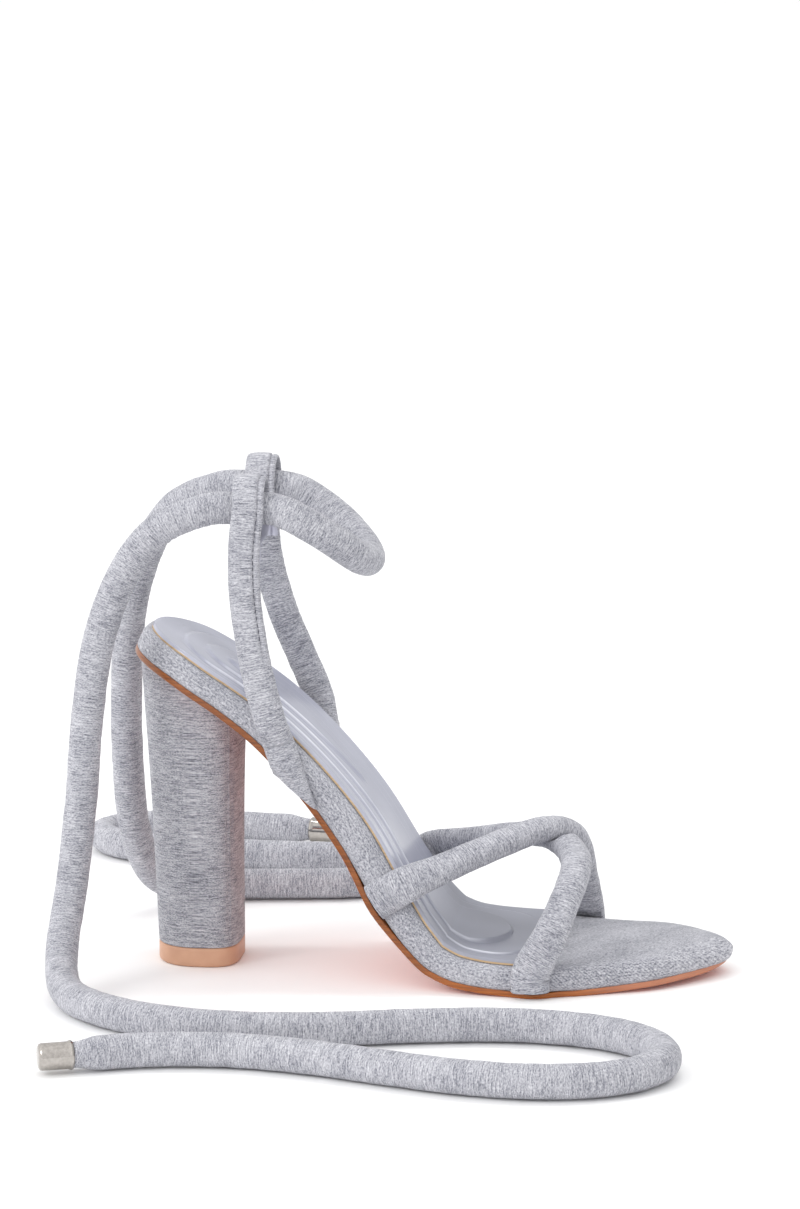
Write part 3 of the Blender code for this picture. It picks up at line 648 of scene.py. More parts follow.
def insole_finish():
    """Satin coated skin, duller at the forefoot with painted shade darkening it there, and painted
    highlights along the ovals' edges.
    """
    material, tree, shader = new_material("insole skin", roughness=0.28, specular_ior_level=0.85)
    place = object_place(tree)
    cloudy = noisy(tree, place, scale=40.0, detail=2.0)
    plain = ramp(tree, cloudy, (0.3, srgb(169, 171, 186)), (0.7, srgb(178, 180, 195)))
    # Painted shade: the colour is darker at the forefoot, as under the toe straps; the roughness rises there
    # too.
    forefoot = faded(tree, along_shoe(tree, place), *FOREFOOT_DULL_AND_SHADED)
    satin = scaled(tree, plain, sums(tree, "MULTIPLY_ADD", forefoot, -0.36, 1.0))
    # Painted highlight: near white is mixed in along the ovals' ridges.
    painted_light = add(tree, "ShaderNodeAttribute", attribute_name=HIGHLIGHT_ATTRIBUTE).outputs["Fac"]
    painted_light = sums(tree, "MULTIPLY", painted_light, sums(tree, "MULTIPLY_ADD", cloudy, 1.2, -0.08))
    colour = mixed(tree, painted_light, satin, srgb(236, 238, 246))
    pores = add(tree, "ShaderNodeTexVoronoi", {"Vector": place, "Scale": 2600.0}).outputs["Distance"]
    rough = sums(tree, "MULTIPLY_ADD", cloudy, 0.08, sums(tree, "MULTIPLY_ADD", forefoot, 0.26, 0.12))
    connect(tree, shader, colour, rough, pores, strength=0.06)
    return material


def edge_shade_and_glow(tree, place, colour):
    """Painted light on the outsole's edge: painted shade darkens it up to the forefoot, and painted pink
    bounce light from the floor makes it paler round the toe.
    """
    along = along_shoe(tree, place)
    # Painted shade along the waist, then painted pink bounce light round the toe.
    shade = sums(tree, "MULTIPLY_ADD", faded(tree, along, *EDGE_WAIST_SHADE), 0.37, 0.63)
    painted_light = sums(tree, "MULTIPLY", faded(tree, along, *EDGE_TOE_GLOW), 0.55)
    return mixed(tree, painted_light, scaled(tree, colour, shade), srgb(200, 136, 112))


def streaked_finish(name, dark, pale, roughness, coat, painted_light_along=None):
    """Burnished board: level streaks and a little gloss. The last argument paints shade and bounce light on
    its colour along the shoe.
    """
    material, tree, shader = new_material(name, roughness=roughness, coat_weight=coat, coat_roughness=0.2)
    place = object_place(tree)
    level = add(tree, "ShaderNodeVectorMath", {0: place, 1: STREAKS}, operation="MULTIPLY").outputs[0]
    streaks = noisy(tree, level, scale=1.0, detail=4.0)
    colour = ramp(tree, streaks, (0.32, dark), (0.68, pale))
    if painted_light_along:
        colour = painted_light_along(tree, place, colour)
    connect(tree, shader, colour, sums(tree, "MULTIPLY_ADD", streaks, 0.16, roughness - 0.08), streaks)
    return material


def moulded_finish(name, dark, pale, roughness):
    """Plain rubber, lining or thread: a cloudy tone and a fine matt grain."""
    material, tree, shader = new_material(name, roughness=roughness)
    place = object_place(tree)
    colour = ramp(tree, noisy(tree, place, scale=120.0, detail=3.0), (0.3, dark), (0.7, pale))
    grain = noisy(tree, place, scale=3500.0, detail=2.0)
    connect(tree, shader, colour, sums(tree, "MULTIPLY_ADD", grain, 0.2, roughness - 0.1), grain)
    return material


def metal_finish():
    material, tree, shader = new_material("polished metal", metallic=1.0, roughness=0.12)
    hairline = noisy(tree, object_place(tree), scale=900.0, detail=5.0)
    colour = ramp(tree, hairline, (0.3, srgb(168, 163, 158)), (0.7, srgb(188, 183, 178)))
    connect(tree, shader, colour, sums(tree, "MULTIPLY_ADD", hairline, 0.1, 0.05))
    return material


HEATHER = heather_group()
STRAP_JERSEY = jersey_finish("strap jersey", 4.0, 0.5, slubs=0.52, fibres=0.58)
SOLE_JERSEY = jersey_finish("sole jersey", 1.8, 0.55, slubs=0.38, fibres=0.62, ribs=0.035)
# The heel's jersey is darkened all over as painted shade under the sole's overhang.
HEEL_JERSEY = jersey_finish("heel jersey", 4.6, 0.62, slubs=0.54, fibres=0.64, shade=0.86)
INSOLE_SKIN = insole_finish()
INSOLE_EDGE = streaked_finish("insole edge", srgb(168, 140, 106), srgb(196, 168, 132), 0.5, 0.0)
# The outsole's edge takes painted shade along the waist and painted pink bounce light round the toe.
OUTSOLE_EDGE = streaked_finish("outsole edge", srgb(138, 72, 20), srgb(184, 104, 36), 0.35, 0.15, edge_shade_and_glow)
OUTSOLE_FLOOR = streaked_finish("outsole underside", srgb(206, 120, 104), srgb(224, 142, 124), 0.5, 0.0)
TIP_TAN = moulded_finish("heel tip tan", srgb(193, 146, 118), srgb(205, 159, 130), 0.42)
LINING = moulded_finish("strap lining", srgb(176, 176, 190), srgb(190, 190, 202), 0.7)
THREAD = moulded_finish("seam thread", srgb(58, 60, 72), srgb(80, 82, 94), 0.8)
POLISHED = metal_finish()


# Camera, floor and light

def aim_camera():
    turn, lift = math.radians(VIEW_AZIMUTH), math.radians(VIEW_ELEVATION)
    back = Vector((math.sin(turn) * math.cos(lift), -math.cos(turn) * math.cos(lift), math.sin(lift)))
    camera = bpy.data.cameras.new("camera")
    camera.lens = camera.sensor_width * VIEW_DISTANCE / (PHOTO_HEIGHT * PIXEL_SIZE)
    eye = link(bpy.data.objects.new("camera", camera))
    eye.location = VIEW_TARGET + back * VIEW_DISTANCE
    eye.rotation_euler = (-back).to_track_quat("-Z", "Y").to_euler()
    bpy.context.scene.camera = eye


def soft_light(name, place, power, size, length=None):
    """A softbox aimed at the shoe: a disc, or with a length a strip that runs along the shoe."""
    lamp = bpy.data.lights.new(name, "AREA")
    lamp.shape = "RECTANGLE" if length else "DISK"
    lamp.size = length or size
    lamp.size_y = size
    lamp.energy = power
    stand = link(bpy.data.objects.new(name, lamp))
    stand.location = place
    back = (Vector(place) - LIGHT_AIM).normalized()
    wide = Vector((0.0, 1.0, 0.0)).cross(back).normalized()
    stand.rotation_euler = Matrix((wide, back.cross(wide), back)).transposed().to_euler()


def set_studio():
    bm = bmesh.new()
    bmesh.ops.create_circle(bm, cap_ends=True, radius=24.0, segments=48)
    floor = finish_mesh("studio_floor", bm, smooth=False)
    if floor.data.polygons[0].normal.z < 0:
        floor.data.flip_normals()
    white = (0.97, 0.97, 0.97, 1.0)
    material, _, _ = new_material("studio floor", base_color=white, roughness=0.6, specular_ior_level=0.25)
    floor.data.materials.append(material)
    soft_light("key_softbox", (-1.6, -1.3, 1.3), power=14.0, size=1.0)
    soft_light("strip_softbox", (0.6, 0.42, 1.67), power=8.0, size=0.16, length=1.9)
    world = bpy.data.worlds.new("studio")
    world.use_nodes = True
    tree = world.node_tree
    looking = add(tree, "ShaderNodeTexCoord").outputs["Generated"]
    from_key = add(tree, "ShaderNodeVectorMath", {0: looking, 1: KEY_SIDE}, operation="DOT_PRODUCT")
    strength = sums(tree, "MULTIPLY_ADD", from_key.outputs["Value"], SKY_FALL, SKY_LIGHT)
    sky = tree.nodes["Background"]
    sky.inputs["Color"].default_value = (1.0, 1.0, 1.0, 1.0)
    tree.links.new(strength, sky.inputs["Strength"])
    bpy.context.scene.world = world
    bpy.context.scene.view_settings.view_transform = "Standard"


# Tubes

def smooth_path(points, count):
    """Points spaced evenly along a smooth line through the given ones."""
    points = [Vector(p) for p in points]
    ends = [points[0] * 2 - points[1]] + points + [points[-1] * 2 - points[-2]]
    fine = []
    for before, start, end, after in zip(ends, ends[1:], ends[2:], ends[3:]):
        for step in range(FINE_STEPS):
            t = step / FINE_STEPS
            square = 2 * before - 5 * start + 4 * end - after
            cube = 3 * start - before - 3 * end + after
            fine.append(start + (end - before) * (t / 2) + (square * t * t + cube * t**3) / 2)
    fine.append(points[-1])
    along = length_along(fine)
    spaced, i = [], 0
    for n in range(count):
        goal = along[-1] * n / (count - 1)
        while i < len(fine) - 2 and along[i + 1] < goal:
            i += 1
        share = (goal - along[i]) / (along[i + 1] - along[i])
        spaced.append(fine[i].lerp(fine[i + 1], min(share, 1.0)))
    return spaced


def frames_along(path, outward=None, face=Vector((0.0, 0.0, 1.0))):
    """(centre, wide, face, bend) for each point: directions of the section, and which way the path bends.

    outward gives the way that the face looks at a point. Without it the first face is carried on untwisted.
    """
    frames = []
    last = len(path) - 1
    for i, centre in enumerate(path):
        before, after = path[max(i - 3, 0)], path[min(i + 3, last)]
        tangent = (path[min(i + 1, last)] - path[max(i - 1, 0)]).normalized()
        face = outward(centre) if outward else face
        face = (face - tangent * face.dot(tangent)).normalized()
        reach = max((after - before).length / 2, 1e-6)
        bend = (before + after - 2 * centre) / (reach * reach)
        frames.append((centre, tangent.cross(face), face, bend))
    return frames


def oval(share, power=TUBE_POWER):
    """Across and up, from -1 to 1, at a share of the way round a soft oval."""
    across, up = math.cos(TURN * share), math.sin(TURN * share)
    return (
        math.copysign(abs(across) ** (2 / power), across),
        math.copysign(abs(up) ** (2 / power), up),
    )


def ring_noise(seed, share, along, spread):
    """Smooth noise that closes round a ring; spread is the number of swells across the ring."""
    round_x, round_y = math.cos(TURN * share) * spread, math.sin(TURN * share) * spread
    return noise.noise(Vector((round_x + seed, round_y - seed, along)))


def jersey_ripple(seed, share, along, out, bend):
    """How far the jersey stands off a padded tube: soft slubs, and small folds inside a bend."""
    soft = ring_noise(seed, share, along * 0.22, 0.7) * 0.16
    fine = ring_noise(seed + 7, share, along * 0.9, 1.6) * 0.05
    pinch = max(0.0, out.dot(bend)) * 5.0
    wander = ring_noise(seed + 3, share, along * 0.1, 0.6) * 2.5
    return soft + fine + min(pinch, 0.4) * math.sin(along * TURN / 3.1 + wander)


def tie_piece(name, seed, path, taper_end=False):
    """One padded length of the tie. A free end is gathered into its metal end."""
    rows, columns = len(path) - 1, 36
    along = length_along(path)
    frames = frames_along(path)
    girth = math.pi * TIE_DIAMETER

    def shape(u, v):
        i = round(v * rows)
        centre, wide, face, bend = frames[i]
        across, up = oval(u, TIE_POWER)
        out = (wide * across + face * up).normalized()
        to_end = along[-1] - along[i]
        radius = TIE_DIAMETER / 2
        stand = jersey_ripple(seed, u, along[i], out, bend)
        stand *= ease(i, 0, FLUSH_ROWS)
        stand *= ease(to_end, 0, 4) if taper_end else ease(rows - i, 0, FLUSH_ROWS)
        if taper_end:
            gather = ease(to_end, GATHER_LENGTH, 0)
            radius -= gather * GATHER_BY
            folds = math.sin(TURN * u * GATHER_FOLDS) * GATHER_FOLD_DEPTH
            stand += gather * folds * ease(to_end, 0, 3)
        point = centre + wide * (across * radius) + face * (up * radius) + out * stand
        point.z = max(point.z, TIE_FLOOR)
        return point

    return skin(name, columns, rows, shape, lambda u, v: (u * girth, along[round(v * rows)]))


def loop_middle(path, side):
    x, y, z = path[-1]
    return Vector((x, side * (y - LOOP_REACH), z))


def make_ferrule(side, before, end):
    """Turned metal cup with a rolled mouth and a softly domed end."""
    axis = (end - before).normalized()
    wide = axis.cross(Vector((0.0, 0.0, 1.0))).normalized()
    radius = FERRULE_DIAMETER / 2
    profile = (
        (0.3, radius - 1.3),
        (0.3, radius - 0.3),
        (0.9, radius),
        (1.5, radius - 0.3),
        (1.9, radius - 0.45),
        (FERRULE_LENGTH - 1.3, radius - 0.45),
        (FERRULE_LENGTH - 0.6, radius - 0.7),
        (FERRULE_LENGTH - 0.15, radius - 1.4),
        (FERRULE_LENGTH, radius - 2.6),
        (FERRULE_LENGTH, 0.0),
    )
    bm = bmesh.new()
    marks = [bm.verts.new(in_frame(end + axis * along + wide * reach)) for along, reach in profile]
    for a, b in zip(marks, marks[1:]):
        bm.edges.new((a, b))
    bmesh.ops.spin(
        bm, geom=[*bm.verts, *bm.edges], cent=in_frame(end), axis=axis,
        angle=TURN, steps=48, use_merge=True,
    )
    bmesh.ops.remove_doubles(bm, verts=bm.verts, dist=1e-6)
    bmesh.ops.holes_fill(bm, edges=[e for e in bm.edges if e.is_boundary], sides=0)
    return dress(finish_mesh(f"tie_end_cup_{side}", bm), "nickel", POLISHED, node=f"tie_ferrule_{side}")


def make_tie():
    """The ankle tie: a sagging stretch between the two loops, and two ends that fall behind the heel."""
    outer, inner = loop_middle(SLING_OUTER, -1), loop_middle(SLING_INNER, 1)
    lead, half_gap = Vector((TIE_LEAD, 0.0, 0.0)), Vector((GAP / 2, 0.0, 0.0))
    sag = [outer + half_gap, outer + lead, *map(Vector, TIE_MIDDLE), inner + lead, inner + half_gap]
    line = smooth_path(sag, 90)
    middle = dress(tie_piece("ankle_tie_span", 1.0, line), "jersey", STRAP_JERSEY, node="ankle_tie_middle")
    declare_tie(line, ())
    for side, start, route, name in ((-1, outer, TIE_OUTER, "outer"), (1, inner, TIE_INNER, "inner")):
        points = [start - half_gap, start - lead, *[Vector((x, side * y, z)) for x, y, z in route]]
        line = smooth_path(points, 400)
        piece = tie_piece(f"ankle_tie_end_{name}", 20.0 + side, line, taper_end=True)
        dress(piece, "jersey", STRAP_JERSEY, node=f"ankle_tie_{name}")
        declare_tie(line, [make_ferrule(name, line[-3], line[-1])])


def declare_tie(line, fittings):
    in_frame(line[0])
    length_along(line)[-1] * MM
    [in_frame(p) for p in line]


# Sole pieces

def sole_stations(rows, start=SOLE_BACK, end=TOE_TIP):
    """Places along the sole, close together at both ends."""
    first, length = start + END_GAP, end - start - 2 * END_GAP
    return [first + length * (0.5 - 0.5 * math.cos(math.pi * i / rows)) for i in range(rows + 1)]


def wrap_ripple(x, side_share, side):
    """Lasting folds: the jersey puckers a little where it is drawn under the toe and the heel seat."""
    toe, seat = ease(x, *TOE_PLEATS), ease(x, *SEAT_PLEATS)
    low = 1 - ease(side_share, 0.05, 0.75)
    wander = noise.noise(Vector((x * 0.05, side * 3.0, 2.0))) * 4
    pleat = math.sin(x * TURN / PLEAT_PITCH + wander) * PLEAT_DEPTH * max(toe, seat * 0.6) * low
    return pleat + noise.noise(Vector((x * 0.08, side_share * 1.5, side * 5.0))) * 0.12


def make_platform():
    """Jersey wrapped round the platform: its side wall and the covered toe."""
    rows, side_columns, top_columns, floor_columns = 230, 16, 40, 2
    seen_columns = 2 * side_columns + top_columns
    columns = seen_columns + 2 * floor_columns
    places = sole_stations(rows)
    along = length_along([on_sole(x, 0.0, OUTSOLE_THICK) for x in places])

    def section(u, v):
        """x, offset from the middle, rise, distance round the section and set back of the nose."""
        x = places[round(v * rows)]
        half, thick = outline(x)[1], platform_thick(x)
        fit = min(1.0, half / RIM_FIT)
        step = round(u * columns) - floor_columns
        edge = half - RIM[-1].inset * fit
        if step < 0 or step > seen_columns:
            side, beyond = (-1, -step) if step < 0 else (1, step - seen_columns)
            low = (half - RIM[0].inset * fit) * (1 - beyond / floor_columns)
            return x, side * low, OUTSOLE_THICK, 0.0, RIM[0].set_back
        if side_columns < step < side_columns + top_columns:
            share = 2 * (step - side_columns) / top_columns - 1
            rise = OUTSOLE_THICK + thick + footbed_rise(x, share)
            return x, edge * share, rise, thick + edge * (1 + share), RIM[-1].set_back
        side = -1 if step <= side_columns else 1
        t = (step if side < 0 else seen_columns - step) / side_columns
        reach = half - rim_inset(t) * fit + wrap_ripple(x, t, side) * fit
        round_by = thick * t if side < 0 else thick * (2 - t) + 2 * edge
        return x, side * reach, OUTSOLE_THICK + thick * rim_share(t), round_by, rim_set_back(t)

    def shape(u, v):
        x, y, rise, _, set_back = section(u, v)
        return on_sole(x, sole_middle(x) + y, rise) - nose_back(x, set_back)

    def cloth(u, v):
        return along[round(v * rows)], section(u, v)[3]

    piece = skin("platform_cover", columns, rows, shape, cloth)
    dress(piece, "jersey", SOLE_JERSEY, node="platform")


def oval_half(x, oval):
    ends = end_round(x - oval.back, oval.back_round, 2.0) * end_round(oval.front - x, oval.front_round, 2.0)
    return smooth_curve(*zip(*oval.half_widths))(x) * ends


@functools.cache
def ovals_across(x, step=0.1):
    """(half width, slope of the outline, height, strength of the painted highlight on the edge) of each
    moulded oval that x crosses.
    """
    crossed = []
    for oval in INSOLE_OVALS:
        if oval.back < x < oval.front:
            slope = (oval_half(x + step, oval) - oval_half(x - step, oval)) / (2 * step)
            height = OVAL_RAISE + oval.front_raise * ease(oval.front - x, 34, 6)
            painted_shine = ease(x - oval.back, 4, 18) * ease(oval.front - x, 5, 18)
            crossed.append((oval_half(x, oval), slope, height, painted_shine))
    return crossed


def oval_relief(x, offset):
    """Height of the moulded ovals above the plain insole."""
    raise_by = 0.0
    for half, slope, height, _ in ovals_across(x):
        inside = (half - abs(offset)) / math.hypot(1, slope)
        raise_by += height * ease(inside, -0.2, OVAL_SLOPE) - OVAL_GROOVE * bell(inside + 0.5, 0.6)
    return raise_by


def ridge_highlight(x, offset):
    """How bright the painted highlight is at a place: along the edges of the ovals, less towards the toe."""
    painted_shine = 0.0
    for half, slope, _, strength in ovals_across(x):
        inside = (half - abs(offset)) / math.hypot(1, slope)
        painted_shine = max(painted_shine, strength * bell(inside - OVAL_SLOPE * 0.6, HIGHLIGHT_LINE))
    return painted_shine


def make_insole():
    """Moulded footbed: a satin skin with nested raised ovals, and a tan edge."""
    rows, across, edge_columns, floor_columns = 260, 200, 4, 10
    places = sole_stations(rows, SOLE_BACK + INSOLE_INSET, INSOLE_FRONT)
    seen_columns = across + 2 * edge_columns
    columns = seen_columns + floor_columns
    across_end = INSOLE_CLOTH * seen_columns / columns
    along = length_along([on_sole(x, 0.0, 0.0) for x in places])

    def width_at(x):
        """Middle and half width, and how far in the rounded edge comes."""
        middle, half = outline(x, INSOLE_INSET, INSOLE_FRONT, INSOLE_CORNER)
        return middle, half, min(1.0, half * 0.3)

    def shape(u, v):
        x = places[round(v * rows)]
        middle, half, soft = width_at(x)
        wide = max(outline(x)[1], 1e-6)
        base = OUTSOLE_THICK + platform_thick(x) + INSOLE_GAP
        step = round(u * columns)
        if step <= edge_columns or seen_columns - edge_columns <= step <= seen_columns:
            side = -1 if step <= edge_columns else 1
            t = (step if side < 0 else seen_columns - step) / edge_columns
            y = side * (half - soft * (1 - math.cos(t * math.pi / 2)))
            rise = base + footbed_rise(x, y / wide) + INSOLE_THICK * math.sin(t * math.pi / 2)
        elif step < seen_columns:
            share = 2 * (step - edge_columns) / across - 1
            y = share * (half - soft)
            rise = base + footbed_rise(x, y / wide) + INSOLE_THICK + oval_relief(x, y)
        else:
            share = 2 * (step - seen_columns) / floor_columns - 1
            y = -share * half
            rise = base + footbed_rise(x, y / wide)
        return on_sole(x, middle + y, rise)

    # Painted highlight along the ridges of the ovals.
    def painted_highlight(u, v):
        x = places[round(v * rows)]
        _, half, soft = width_at(x)
        share = 2 * (round(u * columns) - edge_columns) / across - 1
        return ridge_highlight(x, share * (half - soft)) if abs(share) < 1 else 0.0

    piece = skin(
        "insole_pad", columns, rows, shape,
        cloth=lambda u, v: (along[round(v * rows)], u * INSOLE_CLOTH), painted_highlight=painted_highlight,
    )
    dress(piece, "insole_skin", INSOLE_SKIN, INSOLE_EDGE, node="insole")
    sheet = piece.data.uv_layers[CLOTH_MAP].data
    for face in piece.data.polygons:
        middle = sum(sheet[i].uv.y for i in face.loop_indices) / len(face.loop_indices) / MM
        if middle < INSOLE_EDGE_RISE or 0 < across_end - middle < INSOLE_EDGE_RISE:
            face.material_index = 1


def foot_swell(x, side):
    """How far the caught end of a toe strap pushes the outsole's edge out."""
    ends = (OVER_STRAP_FEET, UNDER_STRAP_FEET)
    return SWELL * max(bell(x - feet[0 if side < 0 else 1] - SWELL_AHEAD, SWELL_LENGTH) for feet in ends)


def make_outsole():
    """Thin outsole with a burnished edge, swelling a little where the strap ends are caught above it."""
    rows, flat, edge_columns = 230, 12, 5
    columns = 2 * (flat + edge_columns)
    places = sole_stations(rows)
    top = OUTSOLE_THICK - OUTSOLE_GAP

    def shape(u, v):
        x = places[round(v * rows)]
        middle, half = outline(x)
        soft = min(OUTSOLE_ROUND, half * 0.4)
        step = round(u * columns) % columns
        if step <= flat:
            y, rise = (half - soft) * (2 * step / flat - 1), 0.0
        elif flat + edge_columns <= step <= 2 * flat + edge_columns:
            y, rise = half * (1 - 2 * (step - flat - edge_columns) / flat), top
        else:
            inner = step < flat + edge_columns
            turn = ((step - flat) if inner else (columns - step)) / edge_columns * math.pi / 2
            y, rise = half - soft * (1 - math.sin(turn)), top * (1 - math.cos(turn))
            y = y if inner else -y
        side = 1 if y > 0 else -1
        swell = foot_swell(x, side) * (abs(y) / half) ** 6
        thinned = 1 - end_round(TOE_TIP - x, OUTSOLE_THIN, 2.0)
        rise += (top - rise) * thinned
        point = on_sole(x, middle + y + side * swell, rise - swell * 0.7) - nose_back(x, OUTSOLE_NOSE)
        point.z = max(point.z, 0.0)
        return point

    def cloth(u, v):
        return u * OUTSOLE_CLOTH, places[round(v * rows)]

    piece = skin("outsole_board", columns, rows, shape, cloth)
    dress(piece, "outsole_tan", OUTSOLE_EDGE, OUTSOLE_FLOOR, node="outsole")
    for face in piece.data.polygons:
        x = face.center.x / MM + SHOE_MIDDLE[0]
        if face.normal.dot(sole_normal(x)) < -0.9:
            face.material_index = 1


def heel_plan(share, back, breast, half):
    """Point of the block heel's plan at a share of the way round, from the middle of the breast."""
    along, across = math.cos(TURN * share), math.sin(TURN * share)
    power = 2 / (BREAST_POWER if along > 0 else BACK_POWER)
    x = (back + breast) / 2 + (breast - back) / 2 * math.copysign(abs(along) ** power, along)
    return x, half * math.copysign(abs(across) ** power, across)


heel_sizes = [
    smooth_curve(column(HEEL, "share"), column(HEEL, name)) for name in ("back", "breast", "half_width")
]


def heel_size(share):
    return [size(share) for size in heel_sizes]


def make_heel():
    """Jersey-covered block whose top follows the heel seat, its cover joined down both breast corners."""
    rows, columns = 90, 120
    foot = HEEL_TIP_HEIGHT + HEEL_GAP

    def shape(u, v):
        back, breast, half = heel_size(v)
        x, y = heel_plan(u, back, breast, half)
        seat = sole_height(x) - HEEL_GAP / sole_normal(x).z
        height = foot + (seat - foot) * v
        out = Vector((x - (back + breast) / 2, y, 0.0)).normalized()
        from_joint = min(abs(u - HEEL_JOINT), abs(1 - u - HEEL_JOINT)) * HEEL_GIRTH
        joint = JOINT_DEPTH * (bell(from_joint, 0.6) - bell(from_joint - 1.3, 0.5))
        soft = ring_noise(4.0, u, height * 0.05, 1.5) * 0.12
        return Vector((x, y, height)) + out * ((joint + soft) * ease(v, 0.0, 0.03))

    piece = skin("heel_cover", columns, rows, shape, lambda u, v: (u * HEEL_CLOTH, shape(u, v).z))
    dress(piece, "jersey", HEEL_JERSEY, node="block_heel")


def make_heel_tip():
    rows, columns = len(TIP_PROFILE) - 1, 120
    back, breast, half = heel_size(0.0)

    def shape(u, v):
        rise, inset = TIP_PROFILE[round(v * rows)]
        x, y = heel_plan(u, back + inset, breast - inset, half - inset)
        return Vector((x, y, rise))

    def cloth(u, v):
        return u * HEEL_CLOTH, v * HEEL_TIP_HEIGHT

    piece = skin("heel_top_piece", columns, rows, shape, cloth)
    dress(piece, "tip_tan", TIP_TAN, node="heel_tip")


# Straps

def settle_on_sole(point, turned_under=False):
    """Pushes a strap's point out of the sole's side wall, so that its foot lies flat on it.

    A foot that is turned under also rounds in towards the outsole.
    """
    if point.z > sole_height(max(SOLE_BACK, min(TOE_TIP, point.x))) + FOOT_ZONE:
        return point
    x, rise = station_of(point)
    top = OUTSOLE_THICK + platform_thick(x)
    if rise >= top + INSOLE_THICK or rise < (-FOOT_TAIL if turned_under else 0):
        return point
    middle, half = outline(x)
    side = 1 if point.y > middle else -1
    t = max(0.0, min(1.0, (rise - OUTSOLE_THICK) / (top - OUTSOLE_THICK)))
    wall = half + WALL_GAP - WALL_ROUND * max(0.0, t - 0.9) / 0.1
    away = max((point.y - middle) * side, wall)
    if turned_under and rise < FOOT_TURN:
        turned = min(1.0, (FOOT_TURN - rise) / (FOOT_TURN + SLING_WRAP))
        away = min(away, wall + FOOT_BULGE + FOOT_TURN * math.sqrt(1 - turned * turned))
    point.y = middle + side * away
    return point


def strap_foot(feet, rises, side, out=FOOT_OUT):
    points = []
    for x, rise in zip(feet, rises):
        middle, half = outline(x)
        points.append(on_sole(x, middle + side * (half + out), rise))
    return points


def out_of_foot(point):
    core = sole_height(point.x) + OUTSOLE_THICK + rim_thick(point.x)
    return Vector((0.0, point.y, max(point.z - core, 0.0) + FACE_LIFT)).normalized()


def toe_strap_line(path, feet, rows):
    outer = strap_foot((feet[0], feet[0]), STRAP_FOOT_RISES, -1)
    inner = strap_foot((feet[1], feet[1]), STRAP_FOOT_RISES, 1)
    return smooth_path([*outer, *path, *reversed(inner)], rows + 1)


def toe_strap_size(share):
    foot = 1 - ease(min(share, 1 - share), *STRAP_FOOT_END)
    width = STRAP_WIDTH + (STRAP_FOOT_WIDTH - STRAP_WIDTH) * foot
    return width, STRAP_THICK + (STRAP_FOOT_THICK - STRAP_THICK) * foot


def make_toe_strap(name, seed, path, feet, pressed_by=None, node=None):
    """One padded strap over the toes. pressed_by gives the sections of a strap that lies across it."""
    rows, columns = 200, 44
    line = toe_strap_line(path, feet, rows)
    along = length_along(line)
    frames = frames_along(line, out_of_foot)

    def shape(u, v):
        i = round(v * rows)
        centre, wide, face, bend = frames[i]
        width, thick = toe_strap_size(v)
        across, up = oval(u)
        out = (wide * across + face * up).normalized()
        stand = jersey_ripple(seed, u, along[i], out, bend)
        point = centre + wide * (across * width / 2) + face * (up * thick / 2) + out * stand
        if pressed_by:
            point = press(point, pressed_by)
        return settle_on_sole(point)

    piece = skin(name, columns, rows, shape, lambda u, v: (u * STRAP_GIRTH, along[round(v * rows)]))
    dress(piece, "jersey", STRAP_JERSEY, node=node)
    return frames


def press(point, sections):
    """Moves a point out of the strap that lies on it, given by its sections."""
    centre, wide, face, _ = min(sections, key=lambda section: (section[0] - point).length_squared)
    away = point - centre
    a, t = away.dot(wide) / (STRAP_WIDTH / 2 * PRESS_REACH), away.dot(face) / (STRAP_THICK / 2)
    depth = (abs(a) ** TUBE_POWER + abs(t) ** TUBE_POWER) ** (1 / TUBE_POWER)
    if depth >= 1 or depth < 1e-6:
        return point
    lowered = -math.sqrt(max(0.0, 1 - a * a))
    return point + face * ((lowered - t) * STRAP_THICK / 2)


def make_toe_straps():
    over = make_toe_strap("toe_strap_over", 40.0, OVER_STRAP, OVER_STRAP_FEET, node="toe_straps")
    crossing = [section for section in over if section[0].z > CROSSING_HEIGHT]
    make_toe_strap("toe_strap_under", 60.0, UNDER_STRAP, UNDER_STRAP_FEET, pressed_by=crossing)


def sling_line(feet, path, side):
    """(start of the loop, points): up from below the sole, round the tie and back down inside."""
    lower, upper = strap_foot(feet, SLING_FOOT_RISES, side, SLING_FOOT_OUT)
    below = lower + (lower - upper).normalized() * FOOT_TAIL
    stem = [below, lower, upper, *[Vector((x, side * y, z)) for x, y, z in path]]
    centre = loop_middle(path, side)
    bend = []
    for turn in map(math.radians, LOOP_TURNS):
        out, up = side * math.cos(turn) * LOOP_REACH, math.sin(turn) * LOOP_HEIGHT
        bend.append(centre + Vector((0.0, out, up)))
    tail = [Vector((path[-3][0] + TAIL_AHEAD, side * y, z)) for y, z in SLING_TAIL]
    return stem[-1], [*stem, *bend, *tail]


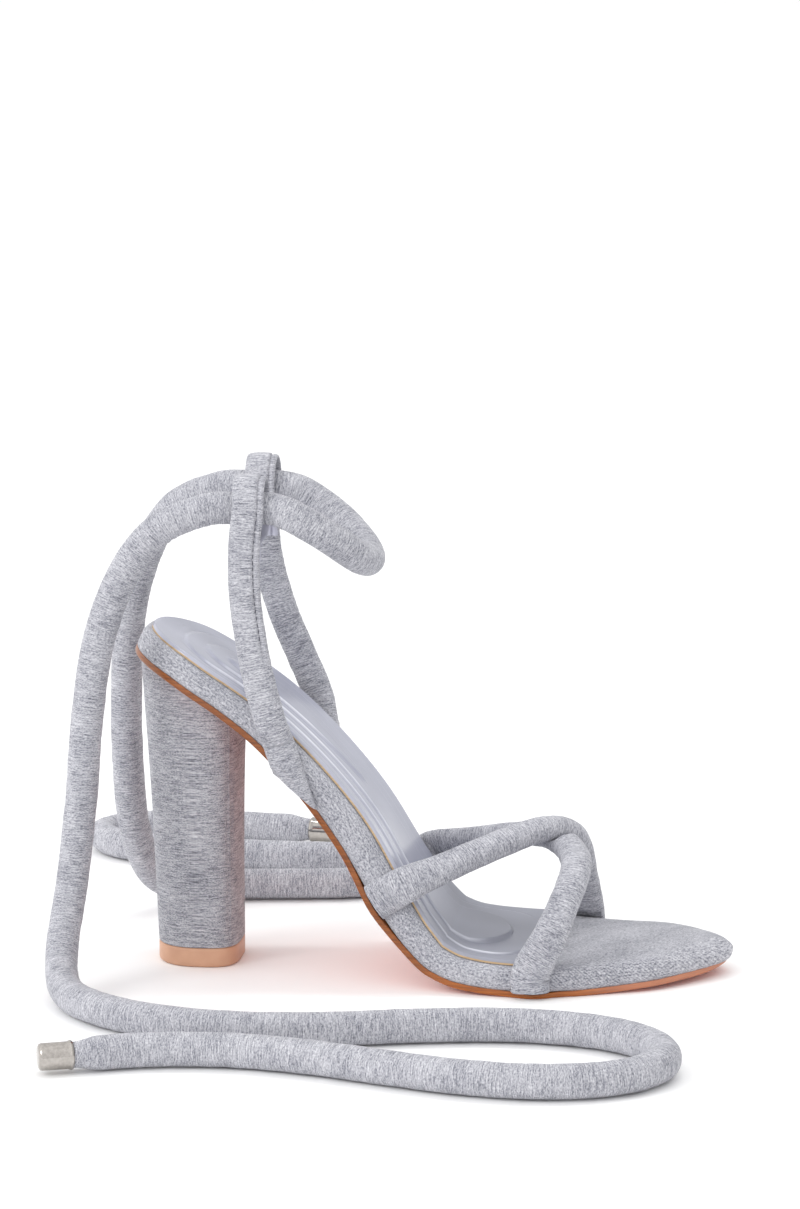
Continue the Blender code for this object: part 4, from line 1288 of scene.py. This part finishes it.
def make_sling_strap(name, seed, feet, path, side):
    """Padded strap up the side of the ankle, sewn along its front edge and folded over into a loop."""
    rows, columns = 320, 52
    loop_foot, points = sling_line(feet, path, side)
    line = smooth_path(points, rows + 1)
    along = length_along(line)
    loop_start = along[min(range(rows + 1), key=lambda i: (line[i] - loop_foot).length)]
    frames = frames_along(line, face=Vector((0.0, side, 0.15)))
    width_at, thick_at = smooth_curve(*zip(*SLING_WIDTHS)), smooth_curve(*zip(*SLING_THICKS))

    def shape(u, v):
        i = round(v * rows)
        centre, wide, face, bend = frames[i]
        reached = along[i] - loop_start
        across, up = oval(u)
        front = across if wide.x > 0 else -across
        out = (wide * across + face * up).normalized()
        padded = 1 - ease(reached, *SLING_PAD_END)
        stand = jersey_ripple(seed, u, along[i], out, bend) * (0.25 + 0.75 * padded)
        if up > 0:
            sewn = ease(reached, -SEAM_RUN - SEAM_FADE, -SEAM_RUN)
            stand -= SEAM_DEPTH * bell(front - SEAM_PLACE, SEAM_SPREAD) * sewn
        wide_by, face_by = across * width_at(reached) / 2, up * thick_at(reached) / 2
        point = centre + wide * wide_by + face * face_by + out * stand
        return settle_on_sole(point, turned_under=True) if reached < SLING_SETTLED else point

    def cloth(u, v):
        return u * SLING_GIRTH, along[round(v * rows)]

    down = -sole_normal(feet[0])
    forward = Vector((-down.z, 0.0, down.x))
    foot = on_sole(feet[0], 0.0, -SLING_WRAP), (down + forward * SLING_LEAN).normalized()
    piece = skin(name, columns, rows, shape, cloth, trim=foot)
    dress(piece, "jersey", STRAP_JERSEY, LINING, node=name.replace("_pad", ""))
    make_stitches(name.replace("_strap", "_stitches").replace("_pad", ""), shape, frames, along, loop_start)
    lining_start = loop_start + LINING_START
    sheet = piece.data.uv_layers[CLOTH_MAP].data
    for face in piece.data.polygons:
        if sheet[face.loop_start].uv.y > lining_start * MM:
            face.material_index = 1


def make_stitches(name, shape, frames, along, loop_start):
    """A row of thread stitches in the groove along the front edge of a sling strap."""
    bm = bmesh.new()
    rows = len(frames) - 1
    turn = math.acos(SEAM_PLACE ** (TUBE_POWER / 2)) / TURN
    reached = loop_start - SEAM_RUN
    for i, (_, wide, face, _) in enumerate(frames):
        if not reached <= along[i] <= loop_start:
            continue
        reached += STITCH_PITCH
        across = turn if wide.x > 0 else 0.5 - turn
        along_seam = wide.cross(face) * (STITCH_LENGTH / 2)
        sides = Matrix((along_seam, wide * (STITCH_THICK / 2), face * (STITCH_THICK / 2))).transposed()
        place = Matrix.Translation(in_frame(shape(across, i / rows))) @ (sides * MM).to_4x4()
        bmesh.ops.create_uvsphere(bm, u_segments=8, v_segments=6, radius=1.0, matrix=place)
    dress(finish_mesh(name, bm), "jersey", THREAD)


aim_camera()
make_tie()
set_studio()
make_outsole()
make_platform()
make_insole()
make_heel()
make_heel_tip()
make_toe_straps()
make_sling_strap("sling_strap_outer_pad", 80.0, SLING_OUTER_FEET, SLING_OUTER, side=-1)
make_sling_strap("sling_strap_inner_pad", 90.0, SLING_INNER_FEET, SLING_INNER, side=1)
